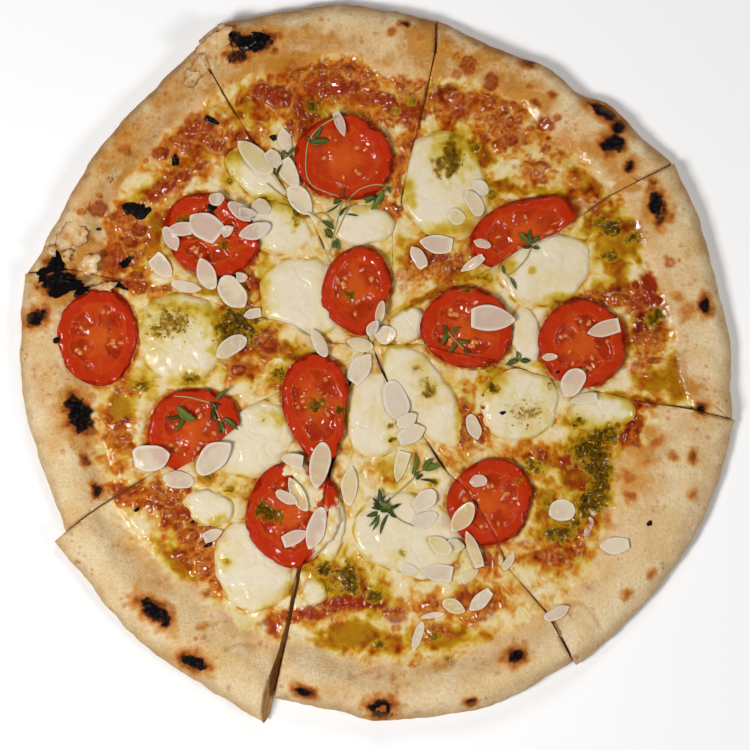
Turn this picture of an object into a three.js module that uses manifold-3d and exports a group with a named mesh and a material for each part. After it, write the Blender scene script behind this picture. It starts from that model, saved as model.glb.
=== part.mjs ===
// A baked vegetable pizza, cut into eight slices that still lie together. Each slice has a dough
// base with a raised rim and a melted layer of sauce and cheese; on them lie mozzarella slabs,
// tomato slices, almond flakes, pesto and sprigs of thyme. Millimetres, +Z up.
import * as THREE from 'three';
import { mergeVertices } from 'three/addons/utils/BufferGeometryUtils.js';
import Module from 'manifold-3d';

const wasm = await Module();
wasm.setup();

// Driving dimensions
const DOUGH_THICKNESS = 4;
const MELT_THICKNESS = 1.9;
const MOZZARELLA_HEIGHT = 5.2;
const TOMATO_HEIGHT = 6.6;
const FLAKE_THICKNESS = 1.6;
const PESTO_THICKNESS = 2.4;
const STEM_RADIUS = 0.55;
const LEAF_THICKNESS = 0.9;
const KERF = 1;
const GAP = 0.3;
const CUT_ALLOWANCE = 1.2;
const WEDGE_HEIGHT = 40;

// Places are picture points, x to the right and y down, seen from straight above
const MM_PER_POINT = 0.45;
const MIDDLE_POINT = [377, 363.5];
const CENTRE = [372, 345];

// The cuts, clockwise, each from near the centre to beyond the rim
const CUTS = [
  [[345, 290], [325, 250], [312, 220], [283, 187], [247, 132], [227, 100], [211, 72], [196, 36]],
  [[384, 306], [393, 280], [392, 235], [402, 200], [409, 163], [425, 100], [435, 50], [436, 10]],
  [[386, 323], [404, 308], [437, 294], [492, 268], [523, 247], [557, 233], [610, 195], [686, 157]],
  [[422, 344], [445, 350], [500, 362], [557, 380], [598, 391], [633, 400], [697, 410], [748, 423]],
  [[388, 383], [415, 423], [447, 472], [467, 490], [495, 535], [510, 570], [547, 613], [584, 680]],
  [[358, 363], [347, 395], [343, 433], [325, 490], [318, 540], [302, 565], [289, 628], [265, 735]],
  [[347, 361], [310, 378], [280, 392], [245, 408], [200, 446], [157, 471], [100, 506], [45, 548]],
  [[327, 343], [310, 335], [292, 324], [231, 310], [203, 298], [143, 285], [73, 270], [15, 274]],
];

// The slices, clockwise from the top: the outer edge, the rim's width at even steps along it and
// the height of its crown. `lean` is how far the first cut face leans back per millimetre of height.
const SLICES = [
  {
    name: 'a', crown: 14, lean: 0.02, rim: [28, 28, 25, 34, 30],
    edge: [[200, 38], [217, 25], [250, 17], [300, 8], [345, 3], [387, 9], [412, 14], [434, 20]],
  },
  {
    name: 'b', crown: 12, lean: 0.02, rim: [30, 22, 21, 26, 32],
    edge: [[443, 19], [460, 28], [487, 40], [522, 56], [548, 64], [583, 92], [613, 105], [671, 162]],
  },
  {
    name: 'c', crown: 13, lean: 0.02, rim: [31, 30, 29, 26, 19],
    edge: [[677, 170], [692, 198], [708, 238], [723, 295], [735, 345], [735, 370], [733, 387], [735, 412]],
  },
  {
    name: 'd', crown: 12, lean: 0.02, rim: [38, 49, 43, 33, 28],
    edge: [[734, 428], [723, 472], [705, 522], [688, 553], [665, 585], [633, 620], [600, 650], [580, 665]],
  },
  {
    name: 'e', crown: 14, lean: 0.02, rim: [28, 28, 29, 29, 33],
    edge: [[574, 662], [540, 682], [490, 707], [428, 718], [378, 722], [345, 714], [312, 707], [277, 700]],
  },
  {
    name: 'f', crown: 13, lean: 0.2, rim: [37, 37, 38, 31, 31],
    edge: [[266, 725], [238, 708], [198, 684], [150, 652], [110, 612], [83, 577], [53, 542]],
  },
  {
    name: 'g', crown: 12, lean: 0.02, rim: [29, 30, 35, 34, 34],
    edge: [[65, 532], [50, 493], [35, 450], [25, 415], [19, 362], [20, 320], [25, 277]],
  },
  {
    name: 'h', crown: 11, lean: 0.02, rim: [34, 23, 24, 23, 27],
    edge: [[27, 272], [50, 230], [67, 198], [93, 153], [120, 120], [150, 90], [180, 60], [197, 45]],
  },
];

// Section of the rim from its foot to its bottom edge: share of the width, share of the crown
const RIM_SECTION = [
  [0.18, 0.45], [0.36, 0.84], [0.55, 1], [0.78, 0.92], [0.93, 0.66], [1, 0.38], [0.975, 0.14], [0.9, 0],
];

// Mozzarella slabs: slice, place, half sizes in millimetres, turn in degrees
const MOZZARELLA = [
  ['a', [362, 225], [14.4, 9.4], 0],
  ['b', [443, 185], [19.5, 26], 12],
  ['c', [545, 268], [21.2, 16.6], 20],
  ['c', [527, 336], [7.4, 12.8], 8],
  ['c', [408, 325], [9, 7.4], 30],
  ['d', [520, 405], [18, 16.4], 0],
  ['d', [602, 412], [15, 9.2], 4],
  ['d', [424, 394], [28, 11.6], -57],
  ['e', [378, 415], [14.8, 20], -10],
  ['e', [408, 535], [25.6, 18.6], -12],
  ['e', [331, 532], [6.4, 14], -12],
  ['e', [315, 592], [5.9, 6.3], 0],
  ['f', [250, 440], [20.3, 17], 25],
  ['f', [208, 508], [11.5, 8.4], -15],
  ['f', [252, 567], [16.6, 21.5], 12],
  ['g', [180, 338], [19.4, 20.3], 0],
  ['h', [258, 173], [17, 9.6], -30],
  ['h', [276, 228], [16.5, 11.3], -15],
  ['h', [303, 297], [20.3, 18], -25],
];

// Tomato slices: the slices that share them, place, half sizes, turn in degrees, a drawn-out tip
// as its direction in degrees and its share of the radius, and the slope of the top
const TOMATOES = [
  { slices: ['a'], at: [344, 158], half: [21.6, 19.6], turn: -10, tip: [0, 0], slope: [0, 0.02] },
  { slices: ['h'], at: [210, 235], half: [21.2, 18.2], turn: -20, tip: [-20, 0.06], slope: [0.03, 0] },
  { slices: ['g'], at: [98, 337], half: [18.6, 21.2], turn: 0, tip: [0, 0], slope: [-0.13, 0] },
  { slices: ['a', 'h'], at: [357, 288], half: [15.8, 18.6], turn: -8, tip: [-78, 0.22], slope: [0, 0.02] },
  { slices: ['f', 'g'], at: [316, 400], half: [15.3, 21.5], turn: 0, tip: [-80, 0.35], slope: [0.02, 0] },
  { slices: ['g'], at: [193, 432], half: [20.6, 19.4], turn: 0, tip: [24, 0.16], slope: [0, -0.02] },
  { slices: ['f', 'e'], at: [293, 512], half: [22, 22], turn: 30, tip: [-85, 0.14], slope: [0, 0] },
  { slices: ['b'], at: [524, 233], half: [24.6, 15.6], turn: 20, tip: [0, 0], slope: [0, 0.03] },
  { slices: ['c', 'd'], at: [467, 328], half: [20.5, 18.5], turn: 0, tip: [0, 0], slope: [0, 0.02] },
  { slices: ['c'], at: [583, 344], half: [20, 19.5], turn: 0, tip: [180, 0.06], slope: [0, 0] },
  { slices: ['d', 'e'], at: [490, 502], half: [18.9, 19.8], turn: -30, tip: [0, 0], slope: [-0.02, 0] },
];

// Almond flakes, largest first: place, length, width, turn in degrees
const FLAKES = [
  [[396, 401], 19, 11, -80], [[214, 458], 20, 11, 40], [[493, 319], 20, 11, 0], [[255, 157], 21, 9, -40],
  [[152, 457], 17, 12, 10], [[233, 292], 17, 11, -55], [[205, 226], 16, 12, -40], [[361, 368], 15, 9, 55],
  [[462, 517], 16, 8, 55], [[300, 200], 16, 9, -50], [[562, 511], 12, 10, 20], [[573, 383], 14, 10, 60],
  [[603, 329], 15, 7, 12], [[316, 528], 20, 8, 70], [[350, 486], 18, 7, 85], [[303, 485], 16, 9, -60],
  [[231, 347], 16, 8, 35], [[437, 573], 14, 8, -10], [[412, 434], 13, 8, 20], [[436, 243], 15, 8, -8],
  [[207, 274], 15, 8, -65], [[290, 174], 14, 8, -55], [[401, 467], 14, 6, 75], [[473, 549], 18, 5, -70],
  [[178, 480], 14, 8, -15], [[614, 545], 13, 7, 5], [[255, 231], 15, 7, 20], [[360, 344], 12, 6, -10],
  [[162, 266], 12, 8, -45], [[474, 203], 13, 7, -60], [[474, 427], 12, 6, -75], [[480, 601], 13, 6, 40],
  [[240, 212], 13, 6, -40], [[454, 607], 11, 6, -20], [[418, 637], 14, 4, 75], [[584, 399], 12, 5, 10],
  [[287, 497], 11, 5, -30], [[171, 239], 12, 6, -65], [[340, 125], 12, 4, -70], [[472, 264], 12, 4, 35],
  [[320, 465], 20, 8, 85], [[186, 286], 14, 5, -10],
];

// Heaps of pesto: place, half length, half width, turn in degrees
const PESTO = [
  [[590, 470], 15, 7, -80], [[347, 580], 8, 6, 0], [[452, 155], 9, 4.4, -80], [[235, 325], 9, 6, 20],
  [[172, 325], 6, 5, 0], [[525, 412], 7, 6, 0], [[318, 407], 5, 3.5, 0], [[270, 513], 6, 3.5, 20],
  [[560, 532], 6, 4, 0], [[655, 315], 5, 4, 0], [[612, 225], 5, 4, 0], [[535, 465], 5, 3.4, 0],
];

// Thyme: stems as lists of points, leaves as their foot and tip
const THYME = [
  {
    stems: [
      [[336, 115], [312, 138], [306, 167], [311, 182], [328, 192], [346, 203]],
      [[388, 185], [372, 187], [358, 192], [347, 203], [342, 217], [334, 250]],
      [[267, 183], [283, 197], [300, 208], [320, 218], [342, 217]],
    ],
    leaves: [
      [[318, 131], [330, 121]], [[310, 142], [328, 146]], [[307, 155], [297, 143]], [[362, 190], [374, 206]],
      [[370, 187], [386, 200]], [[352, 196], [362, 214]], [[330, 193], [324, 206]], [[322, 218], [326, 238]],
      [[338, 232], [330, 243]], [[335, 245], [343, 254]], [[345, 210], [357, 220]], [[309, 178], [299, 172]],
    ],
  },
  {
    stems: [[[172, 395], [192, 397], [210, 402], [217, 412], [218, 427]]],
    leaves: [
      [[208, 401], [228, 390]], [[214, 408], [236, 414]], [[217, 416], [236, 430]], [[218, 422], [226, 436]],
      [[192, 397], [184, 412]], [[182, 396], [168, 410]], [[217, 424], [206, 434]],
    ],
  },
  {
    stems: [[[522, 232], [532, 243], [528, 256], [510, 272]]],
    leaves: [
      [[526, 237], [516, 247]], [[525, 235], [537, 228]], [[532, 244], [541, 250]], [[524, 233], [513, 228]],
      [[516, 268], [516, 286]],
    ],
  },
  {
    stems: [[[446, 330], [455, 340], [464, 350]]],
    leaves: [
      [[447, 331], [440, 346]], [[451, 335], [462, 327]], [[456, 341], [470, 343]], [[457, 343], [448, 354]],
    ],
  },
  {
    stems: [[[423, 466], [414, 480], [395, 495], [382, 503], [396, 514], [414, 526]]],
    leaves: [
      [[420, 470], [414, 454]], [[420, 470], [438, 462]], [[416, 477], [430, 480]], [[382, 503], [366, 516]],
      [[383, 504], [377, 526]], [[384, 502], [378, 488]], [[395, 496], [388, 484]], [[390, 509], [392, 524]],
      [[388, 500], [404, 504]], [[382, 503], [366, 500]],
    ],
  },
];

const COLOURS = {
  dough: [0xdcb98c, 0.85],
  melt: [0xc98a3a, 0.5],
  mozzarella: [0xe6dcc2, 0.45],
  tomato: [0xb83a18, 0.35],
  thyme: [0x5d6e2f, 0.7],
};

const place = ([x, y]) =>
  new THREE.Vector2((x - MIDDLE_POINT[0]) * MM_PER_POINT, (MIDDLE_POINT[1] - y) * MM_PER_POINT);

const mix = THREE.MathUtils.lerp;
const radians = THREE.MathUtils.degToRad;

// Value at share `t` along evenly spaced values, on straight lines between them
function along(values, t) {
  const at = t * (values.length - 1);
  const low = Math.min(Math.floor(at), values.length - 2);
  return mix(values[low], values[low + 1], at - low);
}

// Unit vector pointing clockwise across a cut
const across = (from, to) => new THREE.Vector2(to.y - from.y, from.x - to.x).normalize();

// Point on a cut at share `t` of its length, moved sideways; positive is clockwise
function besideCut(path, t, aside) {
  const way = across(path.getPointAt(Math.max(t - 0.02, 0)), path.getPointAt(Math.min(t + 0.02, 1)));
  return path.getPointAt(t).addScaledVector(way, aside);
}

// Share of a cut's length at which it comes closest to a point
function nearestShare(path, point) {
  let best = 1;
  for (let t = 0.5; t <= 1; t += 0.004) {
    if (path.getPointAt(t).distanceTo(point) < path.getPointAt(best).distanceTo(point)) {
      best = t;
    }
  }
  return best;
}

// Prepares a slice: its two cuts, its outer edge and the shares of the cuts it uses
function makeSlice(spec, index) {
  const cutPoints = (points) => [CENTRE, ...points].map(place);
  const cuts = [cutPoints(CUTS[index]), cutPoints(CUTS[(index + 1) % CUTS.length])];
  const paths = cuts.map((points) => new THREE.Path(points));
  const edge = new THREE.SplineCurve(spec.edge.map(place));
  const ends = [nearestShare(paths[0], edge.getPoint(0)), nearestShare(paths[1], edge.getPoint(1))];
  const length = cuts[0][0].distanceTo(edge.getPoint(0.5));
  return { ...spec, cuts, paths, edge, ends, length };
}

// Point of a slice: `u` runs clockwise between the cuts, `v` from the tip to the outer edge. It
// reaches a little over the cuts, to be trimmed to them later.
function slicePoint(slice, u, v) {
  const allowance = v > 0 ? CUT_ALLOWANCE : 0;
  const left = besideCut(slice.paths[0], v * slice.ends[0], -allowance);
  const right = besideCut(slice.paths[1], v * slice.ends[1], allowance);
  const outer = slice.edge.getPoint(u);
  const chord = slice.edge.getPoint(0).lerp(slice.edge.getPoint(1), u);
  return left.lerp(right, u).add(outer.sub(chord).multiplyScalar(v));
}

// Share of the way out at which the rim begins
const rimFoot = (slice, u) => 1 - along(slice.rim, u) / slice.length;

// Closed geometry from a list of triangle corners, leaving out triangles with no area
function closedGeometry(corners) {
  const kept = [];
  for (let k = 0; k < corners.length; k += 3) {
    const [a, b, c] = corners.slice(k, k + 3);
    if (a !== b && b !== c && c !== a) {
      kept.push(a, b, c);
    }
  }
  return new THREE.BufferGeometry().setFromPoints(kept);
}

function middleOf(points) {
  return points.reduce((sum, one) => sum.addScaledVector(one, 1 / points.length), new THREE.Vector3());
}

// Solid under a grid of points whose rows run outwards from one tip. `feet` are the bottom points
// below the edge, anticlockwise from the tip.
function sheetSolid(rows, feet) {
  const corners = [];
  const last = rows.length - 1;
  const wide = rows[0].length - 1;
  for (let j = 0; j < last; j += 1) {
    for (let i = 0; i < wide; i += 1) {
      const [a, b, c, d] = [rows[j][i], rows[j][i + 1], rows[j + 1][i + 1], rows[j + 1][i]];
      corners.push(a, b, c, a, c, d);
    }
  }
  const ring = [
    rows[0][0],
    ...rows.slice(1).map((row) => row[wide]),
    ...rows[last].slice(0, wide).reverse(),
    ...rows.slice(1, last).reverse().map((row) => row[0]),
  ];
  const middle = middleOf(feet);
  ring.forEach((a, k) => {
    const next = (k + 1) % ring.length;
    corners.push(ring[next], a, feet[k], ring[next], feet[k], feet[next]);
    corners.push(feet[next], feet[k], middle);
  });
  return closedGeometry(corners);
}

const SHARES = Array.from({ length: 8 }, (_, i) => i / 7);

// Dough: flat from the tip to the foot of the rim, then the rim's section down to the flat bottom
function doughGeometry(slice) {
  const point = (u, v, z) => {
    const flat = slicePoint(slice, u, v);
    return new THREE.Vector3(flat.x, flat.y, z);
  };
  const tip = point(0, 0, DOUGH_THICKNESS);
  const flatShares = [0, 0.12, 0.3, 0.6, 1];
  const rows = flatShares.map((share) =>
    SHARES.map((u) => (share === 0 ? tip : point(u, share * rimFoot(slice, u), DOUGH_THICKNESS))),
  );
  const crown = (u) => slice.crown * (1 + 0.06 * Math.sin(7 * u + slice.crown));
  RIM_SECTION.forEach(([share, level]) => {
    rows.push(SHARES.map((u) => point(u, mix(rimFoot(slice, u), 1, share), level * crown(u))));
  });
  const last = rows.length - 1;
  const feetBelow = (u) => [
    ...flatShares.slice(1).map((share) => point(u, share * rimFoot(slice, u), 0)),
    ...RIM_SECTION.slice(1).map((_, k) => point(u, mix(rimFoot(slice, u), 1, 0.11 * (k + 1)), 0)),
  ];
  const feet = [
    point(0, 0, 0),
    ...feetBelow(1),
    ...[...rows[last]].reverse(),
    ...feetBelow(0).reverse(),
  ];
  return sheetSolid(rows, feet);
}

// Melted layer: a thin sheet on the flat dough, gently uneven, thinning at the foot of the rim
function meltGeometry(slice) {
  const bottom = DOUGH_THICKNESS + GAP;
  const point = (u, share) => {
    const flat = slicePoint(slice, u, share * rimFoot(slice, u));
    const uneven = 0.35 * Math.sin(flat.x / 9 + 1) * Math.cos(flat.y / 8);
    const thickness = (MELT_THICKNESS + uneven) * (share > 0.9 ? 0.6 : 1);
    return new THREE.Vector3(flat.x, flat.y, bottom + thickness);
  };
  const tip = point(0, 0);
  const rows = [0, 0.15, 0.4, 0.62, 0.82, 0.97].map((share) =>
    SHARES.map((u) => (share === 0 ? tip : point(u, share))),
  );
  const last = rows.length - 1;
  const wide = SHARES.length - 1;
  const below = ({ x, y }) => new THREE.Vector3(x, y, bottom);
  const feet = [
    below(tip),
    ...rows.slice(1).map((row) => below(row[wide])),
    ...rows[last].slice(0, wide).reverse().map(below),
    ...rows.slice(1, last).reverse().map((row) => below(row[0])),
  ];
  return sheetSolid(rows, feet);
}

// Block between the two cuts of a slice, set back from each
function wedgeGeometry(slice, back) {
  const [first, second] = slice.cuts;
  const ways = slice.cuts.map((points) => points[1].clone().sub(points[0]).normalize());
  const middle = ways[0].clone().add(ways[1]).normalize();
  const tip = first[0].clone().addScaledVector(middle, back / Math.abs(middle.cross(ways[0])));
  const beside = (points, aside) =>
    points.slice(1).map((point, k) => {
      const ahead = points[Math.min(k + 2, points.length - 1)];
      return point.clone().addScaledVector(across(points[k], ahead), aside);
    });
  const ring = (z) => {
    const flat = [
      tip,
      ...beside(second, -back),
      ...slice.edge.getPoints(4).reverse().map((point) => point.clone().multiplyScalar(1.12)),
      ...beside(first, back + slice.lean * z).reverse(),
    ];
    return flat.map(({ x, y }) => new THREE.Vector3(x, y, z));
  };
  const top = ring(WEDGE_HEIGHT);
  const bottom = ring(0);
  const [topMiddle, bottomMiddle] = [middleOf(top), middleOf(bottom)];
  const corners = top.flatMap((a, k) => {
    const next = (k + 1) % top.length;
    const side = [top[next], a, bottom[k], top[next], bottom[k], bottom[next]];
    return [...side, a, top[next], topMiddle, bottom[next], bottom[k], bottomMiddle];
  });
  return closedGeometry(corners);
}

// Lump with an oval, slightly wavy outline: rings of points from the middle to the flat bottom
function lumpGeometry({ at, half, turn, tip, slope }, section, foot, height, waves, count) {
  const centre = place(at);
  const point = (share, level, k) => {
    const angle = (2 * Math.PI * k) / count;
    const towardsTip = Math.max(0, Math.cos(angle + radians(turn - tip[0])));
    const reach = share * (1 + waves * Math.sin(3 * angle + at[0]) + tip[1] * towardsTip ** 10);
    const flat = new THREE.Vector2(half[0] * Math.cos(angle), half[1] * Math.sin(angle));
    flat.multiplyScalar(reach);
    flat.rotateAround(new THREE.Vector2(), radians(turn));
    const rise = level > 0 ? flat.x * slope[0] + flat.y * slope[1] : 0;
    return new THREE.Vector3(centre.x + flat.x, centre.y + flat.y, foot + height * level + rise);
  };
  const turns = Array.from({ length: count }, (_, k) => k);
  const rings = section.map(([share, level]) => turns.map((k) => point(share, level, k)));
  const top = new THREE.Vector3(centre.x, centre.y, foot + height * section[0][1]);
  const bottom = new THREE.Vector3(centre.x, centre.y, foot);
  const corners = [];
  for (let k = 0; k < count; k += 1) {
    const next = (k + 1) % count;
    corners.push(top, rings[0][k], rings[0][next]);
    corners.push(bottom, rings.at(-1)[next], rings.at(-1)[k]);
    for (let j = 0; j + 1 < rings.length; j += 1) {
      const [a, b, c, d] = [rings[j][k], rings[j + 1][k], rings[j + 1][next], rings[j][next]];
      corners.push(a, b, c, a, c, d);
    }
  }
  return closedGeometry(corners);
}

// Between three.js geometry and solids that can be joined and cut
function solidOf(geometry) {
  const bare = geometry.clone();
  bare.deleteAttribute('normal');
  bare.deleteAttribute('uv');
  const merged = mergeVertices(bare, 1e-4);
  const vertProperties = Float32Array.from(merged.getAttribute('position').array);
  const triVerts = Uint32Array.from(merged.index.array);
  return new wasm.Manifold(new wasm.Mesh({ numProp: 3, vertProperties, triVerts }));
}

function geometryOf(solid) {
  const { vertProperties, triVerts } = solid.getMesh();
  const geometry = new THREE.BufferGeometry();
  geometry.setAttribute('position', new THREE.Float32BufferAttribute(vertProperties, 3));
  geometry.setIndex(new THREE.Uint32BufferAttribute(triVerts, 1));
  return geometry;
}

const lifted = (solid) => solid.translate([0, 0, GAP]);

// The largest body of a solid, without loose scraps
function largest(solid) {
  return solid.decompose().reduce((best, one) => (one.volume() > best.volume() ? one : best));
}

const slices = SLICES.map(makeSlice);
const sliceNamed = (name) => slices.find((slice) => slice.name === name);
const pieces = new Map();

for (const slice of slices) {
  const wedge = (layer) => solidOf(wedgeGeometry(slice, KERF / 2 + layer * GAP));
  slice.wedges = { dough: wedge(0), melt: wedge(0), mozzarella: wedge(1), tomato: wedge(2) };
  const sheets = [doughGeometry(slice), meltGeometry(slice)];
  slice.floor = sheets.map((sheet) => solidOf(sheet).intersect(slice.wedges.dough));
  pieces.set(`dough_${slice.name}`, { kind: 'dough', slice, solid: slice.floor[0] });
  pieces.set(`melt_${slice.name}`, { kind: 'melt', slice, solid: slice.floor[1] });
}

// Trims a lump to its slice and to what already lies there, and keeps it as a named piece
function lay(name, kind, slice, geometry) {
  const whole = solidOf(geometry).intersect(slice.wedges[kind]);
  const trimmed = slice.floor.reduce((solid, below) => solid.subtract(lifted(below)), whole);
  slice.floor.push(whole);
  pieces.set(name, { kind, slice, solid: largest(trimmed) });
}

const FOOT = DOUGH_THICKNESS + 2 * GAP + 0.1;
const SLAB_SECTION = [[0.5, 1], [0.82, 0.86], [0.96, 0.55], [1, 0]];
MOZZARELLA.forEach(([name, at, half, turn], index) => {
  const spec = { at, half, turn, tip: [0, 0], slope: [0, 0] };
  const slab = lumpGeometry(spec, SLAB_SECTION, FOOT, MOZZARELLA_HEIGHT, 0.05, 12);
  lay(`mozzarella_${index + 1}`, 'mozzarella', sliceNamed(name), slab);
});

const TOMATO_SECTION = [[0.45, 0.92], [0.88, 1], [0.98, 0.86], [1, 0]];
TOMATOES.forEach((spec, index) => {
  spec.slices.forEach((name, part) => {
    const disc = lumpGeometry(spec, TOMATO_SECTION, FOOT + 1.5 * GAP, TOMATO_HEIGHT, 0.02, 16);
    lay(`tomato_${index + 1}${part === 0 ? '' : '_cut'}`, 'tomato', sliceNamed(name), disc);
  });
});

// What lies on top is placed by looking straight down on the laid pieces
const caster = new THREE.Raycaster();
const targets = [...pieces].map(([name, piece]) => {
  const mesh = new THREE.Mesh(geometryOf(piece.solid));
  mesh.name = name;
  return mesh;
});
function lookDown(x, y) {
  caster.set(new THREE.Vector3(x, y, 60), new THREE.Vector3(0, 0, -1));
  return caster.intersectObjects(targets, false)[0];
}

// Fuses a small topping to the piece below it, trimmed to the slice; it is left out where it
// would come near another piece
function fuse([at, length, width, turn], geometry, thickness, sink) {
  const centre = place(at);
  const hit = lookDown(centre.x, centre.y);
  if (!hit) {
    return;
  }
  const carrier = pieces.get(hit.object.name);
  const lie = new THREE.Quaternion().setFromUnitVectors(new THREE.Vector3(0, 0, 1), hit.face.normal);
  const spin = new THREE.Quaternion().setFromAxisAngle(new THREE.Vector3(0, 0, 1), radians(turn));
  const shaped = (grow) => {
    const size = new THREE.Vector3(length * grow, width * grow, thickness * grow);
    const where = new THREE.Vector3(centre.x, centre.y, hit.point.z + thickness * sink);
    const set = new THREE.Matrix4().compose(where, lie.clone().multiply(spin), size);
    return solidOf(geometry.clone().applyMatrix4(set));
  };
  const near = shaped(1.12).intersect(carrier.slice.wedges.tomato);
  for (const [name, other] of pieces) {
    if (name !== hit.object.name && !near.intersect(other.solid).isEmpty()) {
      return;
    }
  }
  const joined = carrier.solid.add(shaped(1).intersect(carrier.slice.wedges.tomato));
  if (joined.decompose().length === 1 && joined.genus() === 0) {
    carrier.solid = joined;
  }
}

const flakeShape = new THREE.CylinderGeometry(0.44, 0.5, 1, 8).rotateX(Math.PI / 2);
FLAKES.forEach((flake) => fuse(flake, flakeShape, FLAKE_THICKNESS, 0.12));
const heapShape = new THREE.IcosahedronGeometry(1, 0);
PESTO.forEach((heap) => fuse(heap, heapShape, PESTO_THICKNESS / 2, 0));

// Height clear of everything within a small distance of a place
targets.forEach((mesh) => {
  mesh.geometry = geometryOf(pieces.get(mesh.name).solid);
});
function clearHeight({ x, y }, reach) {
  let highest = lookDown(x, y)?.point.z ?? 0;
  for (let k = 0; k < 8; k += 1) {
    const angle = (Math.PI * k) / 4;
    const hit = lookDown(x + reach * Math.cos(angle), y + reach * Math.sin(angle));
    highest = Math.max(highest, hit?.point.z ?? 0);
  }
  return highest;
}

// A sprig: stems drawn along the ground below them, with thin leaves set into them
function sprigSolid({ stems, leaves }) {
  const section = new THREE.Shape();
  section.absarc(0, 0, STEM_RADIUS, 0, 2 * Math.PI);
  let sprig = null;
  const add = (geometry) => {
    const solid = solidOf(geometry);
    sprig = sprig ? sprig.add(solid) : solid;
  };
  const heights = [];
  for (const points of stems) {
    const ground = new THREE.SplineCurve(points.map(place));
    const count = Math.ceil(ground.getLength() / 5);
    const raised = ground.getPoints(count).map((flat) => {
      const z = clearHeight(flat, 2.4) + GAP + STEM_RADIUS;
      return new THREE.Vector3(flat.x, flat.y, z);
    });
    heights.push(...raised);
    const path = new THREE.CatmullRomCurve3(raised);
    add(new THREE.ExtrudeGeometry(section, { curveSegments: 4, steps: count, extrudePath: path }));
  }
  const stemHeight = (flat) => {
    const distance = (point) => Math.hypot(point.x - flat.x, point.y - flat.y);
    return heights.reduce((best, point) => (distance(point) < distance(best) ? point : best)).z;
  };
  for (const [footPoint, tipPoint] of leaves) {
    const foot = place(footPoint);
    const tip = place(tipPoint);
    const middle = foot.clone().lerp(tip, 0.5);
    const lift = Math.max(clearHeight(middle, 2), clearHeight(tip, 1.4)) + GAP + LEAF_THICKNESS / 2;
    const start = new THREE.Vector3(foot.x, foot.y, stemHeight(foot));
    const end = new THREE.Vector3(tip.x, tip.y, Math.max(lift, start.z));
    const way = end.clone().sub(start);
    const leaf = new THREE.OctahedronGeometry(1).scale(way.length() * 0.58, 1.5, LEAF_THICKNESS / 2);
    leaf.rotateY(-Math.atan2(way.z, Math.hypot(way.x, way.y)));
    leaf.rotateZ(Math.atan2(way.y, way.x));
    const centre = start.lerp(end, 0.46);
    add(leaf.translate(centre.x, centre.y, centre.z));
  }
  return largest(sprig);
}

THYME.forEach((spec, index) => {
  pieces.set(`thyme_${index + 1}`, { kind: 'thyme', solid: sprigSolid(spec) });
});

const pizza = new THREE.Group();
pizza.name = 'vegetable_pizza';
for (const [name, { kind, solid }] of pieces) {
  const [color, roughness] = COLOURS[kind];
  const geometry = geometryOf(solid);
  geometry.computeVertexNormals();
  const mesh = new THREE.Mesh(geometry, new THREE.MeshStandardMaterial({ color, roughness, metalness: 0 }));
  mesh.name = name;
  pizza.add(mesh);
}

export default pizza;
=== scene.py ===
import bpy
import numpy as np
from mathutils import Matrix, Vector


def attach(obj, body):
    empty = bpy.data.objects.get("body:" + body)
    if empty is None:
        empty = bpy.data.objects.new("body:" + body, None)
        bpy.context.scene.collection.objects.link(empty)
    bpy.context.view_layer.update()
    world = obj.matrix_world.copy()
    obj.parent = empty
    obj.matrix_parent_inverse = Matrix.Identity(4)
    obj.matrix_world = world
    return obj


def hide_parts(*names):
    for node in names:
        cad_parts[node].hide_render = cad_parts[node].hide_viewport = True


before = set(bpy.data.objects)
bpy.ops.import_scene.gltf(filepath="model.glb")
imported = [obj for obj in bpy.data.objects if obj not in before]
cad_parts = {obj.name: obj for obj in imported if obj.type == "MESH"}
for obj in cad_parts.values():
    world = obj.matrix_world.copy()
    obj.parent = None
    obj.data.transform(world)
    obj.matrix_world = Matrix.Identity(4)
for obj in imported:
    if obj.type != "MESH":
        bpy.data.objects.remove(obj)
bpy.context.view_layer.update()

# Sizes in millimetres, as in the part's source
DOUGH_THICKNESS = 4.0
MELT_THICKNESS = 1.9
TOMATO_HEIGHT = 6.6
GAP = 0.3
MELT_FLOOR = DOUGH_THICKNESS + 0.05
MELT_LEVEL = DOUGH_THICKNESS + GAP + MELT_THICKNESS
MOZZARELLA_FLOOR = DOUGH_THICKNESS + 0.7
TOMATO_FLOOR = DOUGH_THICKNESS + 1.15
METRE = 0.001

# How far slabs and tomato slices end before a cut, the tomato slices whose cut has closed again, and the one
# that hangs over its cut
SLAB_SET_BACK = 0.12
CLOSED_CUT = -0.03
CLOSED_TOMATOES = (4, 5)
OVERHANGING = 6
OVERHANG = 4.0

# Places are picture points, x to the right and y down, seen from straight above
MM_PER_POINT = 0.45
MIDDLE_POINT = (377, 363.5)
CENTRE = (372, 345)
PICTURE_SIZE = 750

# The cuts, clockwise, each from near the centre to beyond the rim
CUTS = [
    [(345, 290), (325, 250), (312, 220), (283, 187), (247, 132), (227, 100), (211, 72), (196, 36)],
    [(384, 306), (393, 280), (392, 235), (402, 200), (409, 163), (425, 100), (435, 50), (436, 10)],
    [(386, 323), (404, 308), (437, 294), (492, 268), (523, 247), (557, 233), (610, 195), (686, 157)],
    [(422, 344), (445, 350), (500, 362), (557, 380), (598, 391), (633, 400), (697, 410), (748, 423)],
    [(388, 383), (415, 423), (447, 472), (467, 490), (495, 535), (510, 570), (547, 613), (584, 680)],
    [(358, 363), (347, 395), (343, 433), (325, 490), (318, 540), (302, 565), (289, 628), (265, 735)],
    [(347, 361), (310, 378), (280, 392), (245, 408), (200, 446), (157, 471), (100, 506), (45, 548)],
    [(327, 343), (310, 335), (292, 324), (231, 310), (203, 298), (143, 285), (73, 270), (15, 274)],
]

# How far each cut stands open on either side of its line, in millimetres
CUT_GAPS = [0.2, 0.18, 0.09, 0.08, 0.15, 0.45, 0.18, 0.1]

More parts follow.
